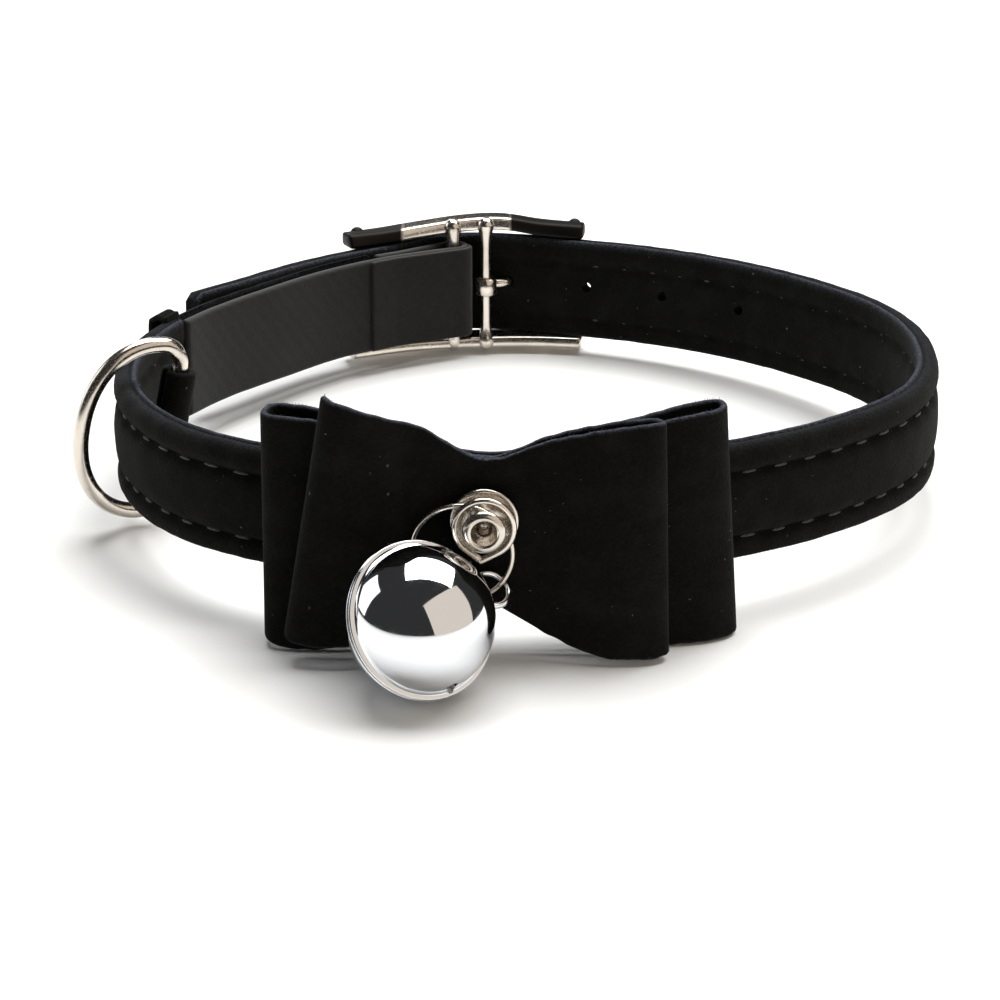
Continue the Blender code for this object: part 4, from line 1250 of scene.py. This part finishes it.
class COLLAR_OT_bell(bpy.types.Operator):
    """Stamp the two halves of the bell, with its loop and slits, and give the pea its finish"""
    bl_idname = "collar.bell"
    bl_label = "Bell"

    def execute(self, context):
        finish = chrome_plate()
        rows = (("bell_shell_front", "bell_front_half", BELL_FACING),
                ("bell_shell_rear", "bell_rear_half", -BELL_FACING))
        for name, node, facing in rows:
            shape = turned(bell_profile(), facing, LOOP @ BELL_MID, 160)
            add_piece(name, shape, finish, slot="bell_chrome", stands_for=(node,), smooth=35.0,
                      cutters=slit_cutters())

        # The loop stands across the jump ring, with its far side on the ring's lowest point
        way = (JUMP_EYE - BELL_MID).normalized()
        middle = BELL_MID + way * (BELL_RADIUS + BELL_LOOP + 0.05 * MM)
        ring_middle, ring_axis = jump_circle()
        lean = way.cross((JUMP_EYE - ring_middle).cross(ring_axis)).normalized()
        path = circle(middle, way * BELL_LOOP, lean * BELL_LOOP, 64)
        add_piece("bell_loop", tube(path, 0.4 * MM, way.cross(lean), 16, True), finish,
                  slot="bell_chrome")

        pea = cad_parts["bell_pea"]
        pea.data.materials.clear()
        pea.data.materials.append(nickel_plate())
        return {"FINISHED"}


class COLLAR_OT_lint(bpy.types.Operator):
    """Scatter lint on the velvet and loose fibres along its cut edges"""
    bl_idname = "collar.lint"
    bl_label = "Lint and loose fibres"

    def execute(self, context):
        chance = random.Random(SEED)
        shapes = bmesh.new()
        shapes.loops.layers.uv.new("cloth")
        for name, specks, fibres in LINT:
            mesh = bpy.data.objects[name].data
            cut = mesh.attributes["cut_edge"].data
            plain = [spot for spot in mesh.vertices if cut[spot.index].value < 0.05]
            edge = [spot for spot in mesh.vertices if cut[spot.index].value > 0.9]
            # spots, how many, length and radius in mm, how far they stand up
            kinds = ((plain, specks, (0.1, 0.28), (0.04, 0.075), 0.15),
                     (edge, fibres, (0.1, 0.25), (0.02, 0.03), 0.8))
            for group, count, long, thick, stand in kinds:
                for _ in range(min(count, len(group))):
                    spot = chance.choice(group)
                    shake = Vector([chance.uniform(-1, 1) for _ in range(3)]).normalized()
                    way = (shake * (1 - stand) + spot.normal * stand).normalized()
                    if stand < 0.5:
                        way = (way - spot.normal * way.dot(spot.normal)).normalized()
                    length = chance.uniform(*long) * MM
                    radius = chance.uniform(*thick) * MM
                    middle = spot.co + spot.normal * radius
                    if stand > 0.5:
                        middle += way * length / 2
                    if middle.z >= length / 2:
                        bmesh.ops.create_cone(shapes, cap_ends=True, segments=3,
                                              radius1=radius, radius2=radius * 0.5,
                                              depth=length, matrix=aimed(way, middle))
        add_piece("lint_fibres", shapes, lint_fluff(), smooth=80.0)
        return {"FINISHED"}


@material("cotton lint")
def lint_fluff(made):
    """Cotton lint: pale bluish-grey fluff, matt."""
    # Tone changes from one fibre to the next, about 1 mm apart
    tone = clouds(made, coordinates(made, "Object"), 900.0, 1.0)
    return surface(made, {"Base Color": blend(made, tone, linear("#2c2d33"), linear("#70727c")),
                          "Roughness": 0.95, "Specular IOR Level": 0.1})


@material("matt white paper")
def white_paper(made):
    """Matt white paper, even all over."""
    floor = bpy.context.scene.collar_stage.floor
    return surface(made, {"Base Color": colour(floor), "Roughness": 0.9,
                          "Specular IOR Level": 0.1})


def soft_light(name, place, aim, size, bright, tint):
    """A rectangular softbox of an even brightness that points at a place."""
    data = bpy.data.lights.new(name, "AREA")
    data.shape = "RECTANGLE"
    data.size, data.size_y = size
    data.energy = bright * math.pi * size[0] * size[1]
    data.color = linear(tint)
    made = placed(name, data)
    made.location = place
    made.rotation_euler = (Vector(place) - Vector(aim)).to_track_quat("Z", "Y").to_euler()


class COLLAR_OT_stage(bpy.types.Operator):
    """Set the camera, the pale floor and the studio lights"""
    bl_idname = "collar.stage"
    bl_label = "Stage"

    def execute(self, context):
        stage = context.scene.collar_stage
        camera = bpy.data.cameras.new("camera")
        camera.lens = CAMERA_LENS
        camera.sensor_width = 36.0
        camera.clip_start = 0.01
        camera.clip_end = 20.0
        eye = placed("camera", camera)
        eye.location = CAMERA_AT
        eye.rotation_euler = CAMERA_TURN
        context.scene.camera = eye

        shape = bmesh.new()
        bmesh.ops.create_grid(shape, x_segments=8, y_segments=8, size=FLOOR_HALF)
        floor = placed("floor", shape)
        floor.data.materials.append(white_paper())

        world = bpy.data.worlds.new("studio")
        world.use_nodes = True
        room = world.node_tree.nodes["Background"]
        room.inputs["Color"].default_value = (1.0, 1.0, 1.0, 1.0)
        room.inputs["Strength"].default_value = stage.room
        context.scene.world = world
        context.scene.view_settings.view_transform = "Standard"
        for name, setting, place, aim, size, tint in SOFTBOXES:
            soft_light(name, place, aim, size, getattr(stage, setting), tint)
        return {"FINISHED"}


class COLLAR_PT_pieces(bpy.types.Panel):
    """The collar's pieces and settings in the sidebar"""
    bl_label = "Velvet bow collar"
    bl_idname = "COLLAR_PT_pieces"
    bl_space_type = "VIEW_3D"
    bl_region_type = "UI"
    bl_category = "Collar"

    def draw(self, context):
        for group in (context.scene.collar_cloth, context.scene.collar_metal,
                      context.scene.collar_stage):
            box = self.layout.box()
            for name in group.__annotations__:
                box.prop(group, name)
        for operator in OPERATORS:
            self.layout.operator(operator.bl_idname)


OPERATORS = (COLLAR_OT_stage, COLLAR_OT_strap, COLLAR_OT_stitches, COLLAR_OT_lining,
             COLLAR_OT_keeper, COLLAR_OT_d_ring, COLLAR_OT_buckle, COLLAR_OT_bow,
             COLLAR_OT_rivet, COLLAR_OT_bell, COLLAR_OT_lint)
SETTINGS = (ClothSettings, MetalSettings, StageSettings)


def register():
    """Register the classes and hang the settings on the scene."""
    for item in SETTINGS + OPERATORS + (COLLAR_PT_pieces,):
        bpy.utils.register_class(item)
    bpy.types.Scene.collar_cloth = bpy.props.PointerProperty(type=ClothSettings)
    bpy.types.Scene.collar_metal = bpy.props.PointerProperty(type=MetalSettings)
    bpy.types.Scene.collar_stage = bpy.props.PointerProperty(type=StageSettings)


def unregister():
    """Take the settings and the classes away again."""
    del bpy.types.Scene.collar_stage
    del bpy.types.Scene.collar_metal
    del bpy.types.Scene.collar_cloth
    for item in reversed(SETTINGS + OPERATORS + (COLLAR_PT_pieces,)):
        bpy.utils.unregister_class(item)


def main():
    """Make every piece in order."""
    register()
    for operator in OPERATORS:
        group, name = operator.bl_idname.split(".")
        getattr(getattr(bpy.ops, group), name)()


if __name__ == "__main__":
    main()
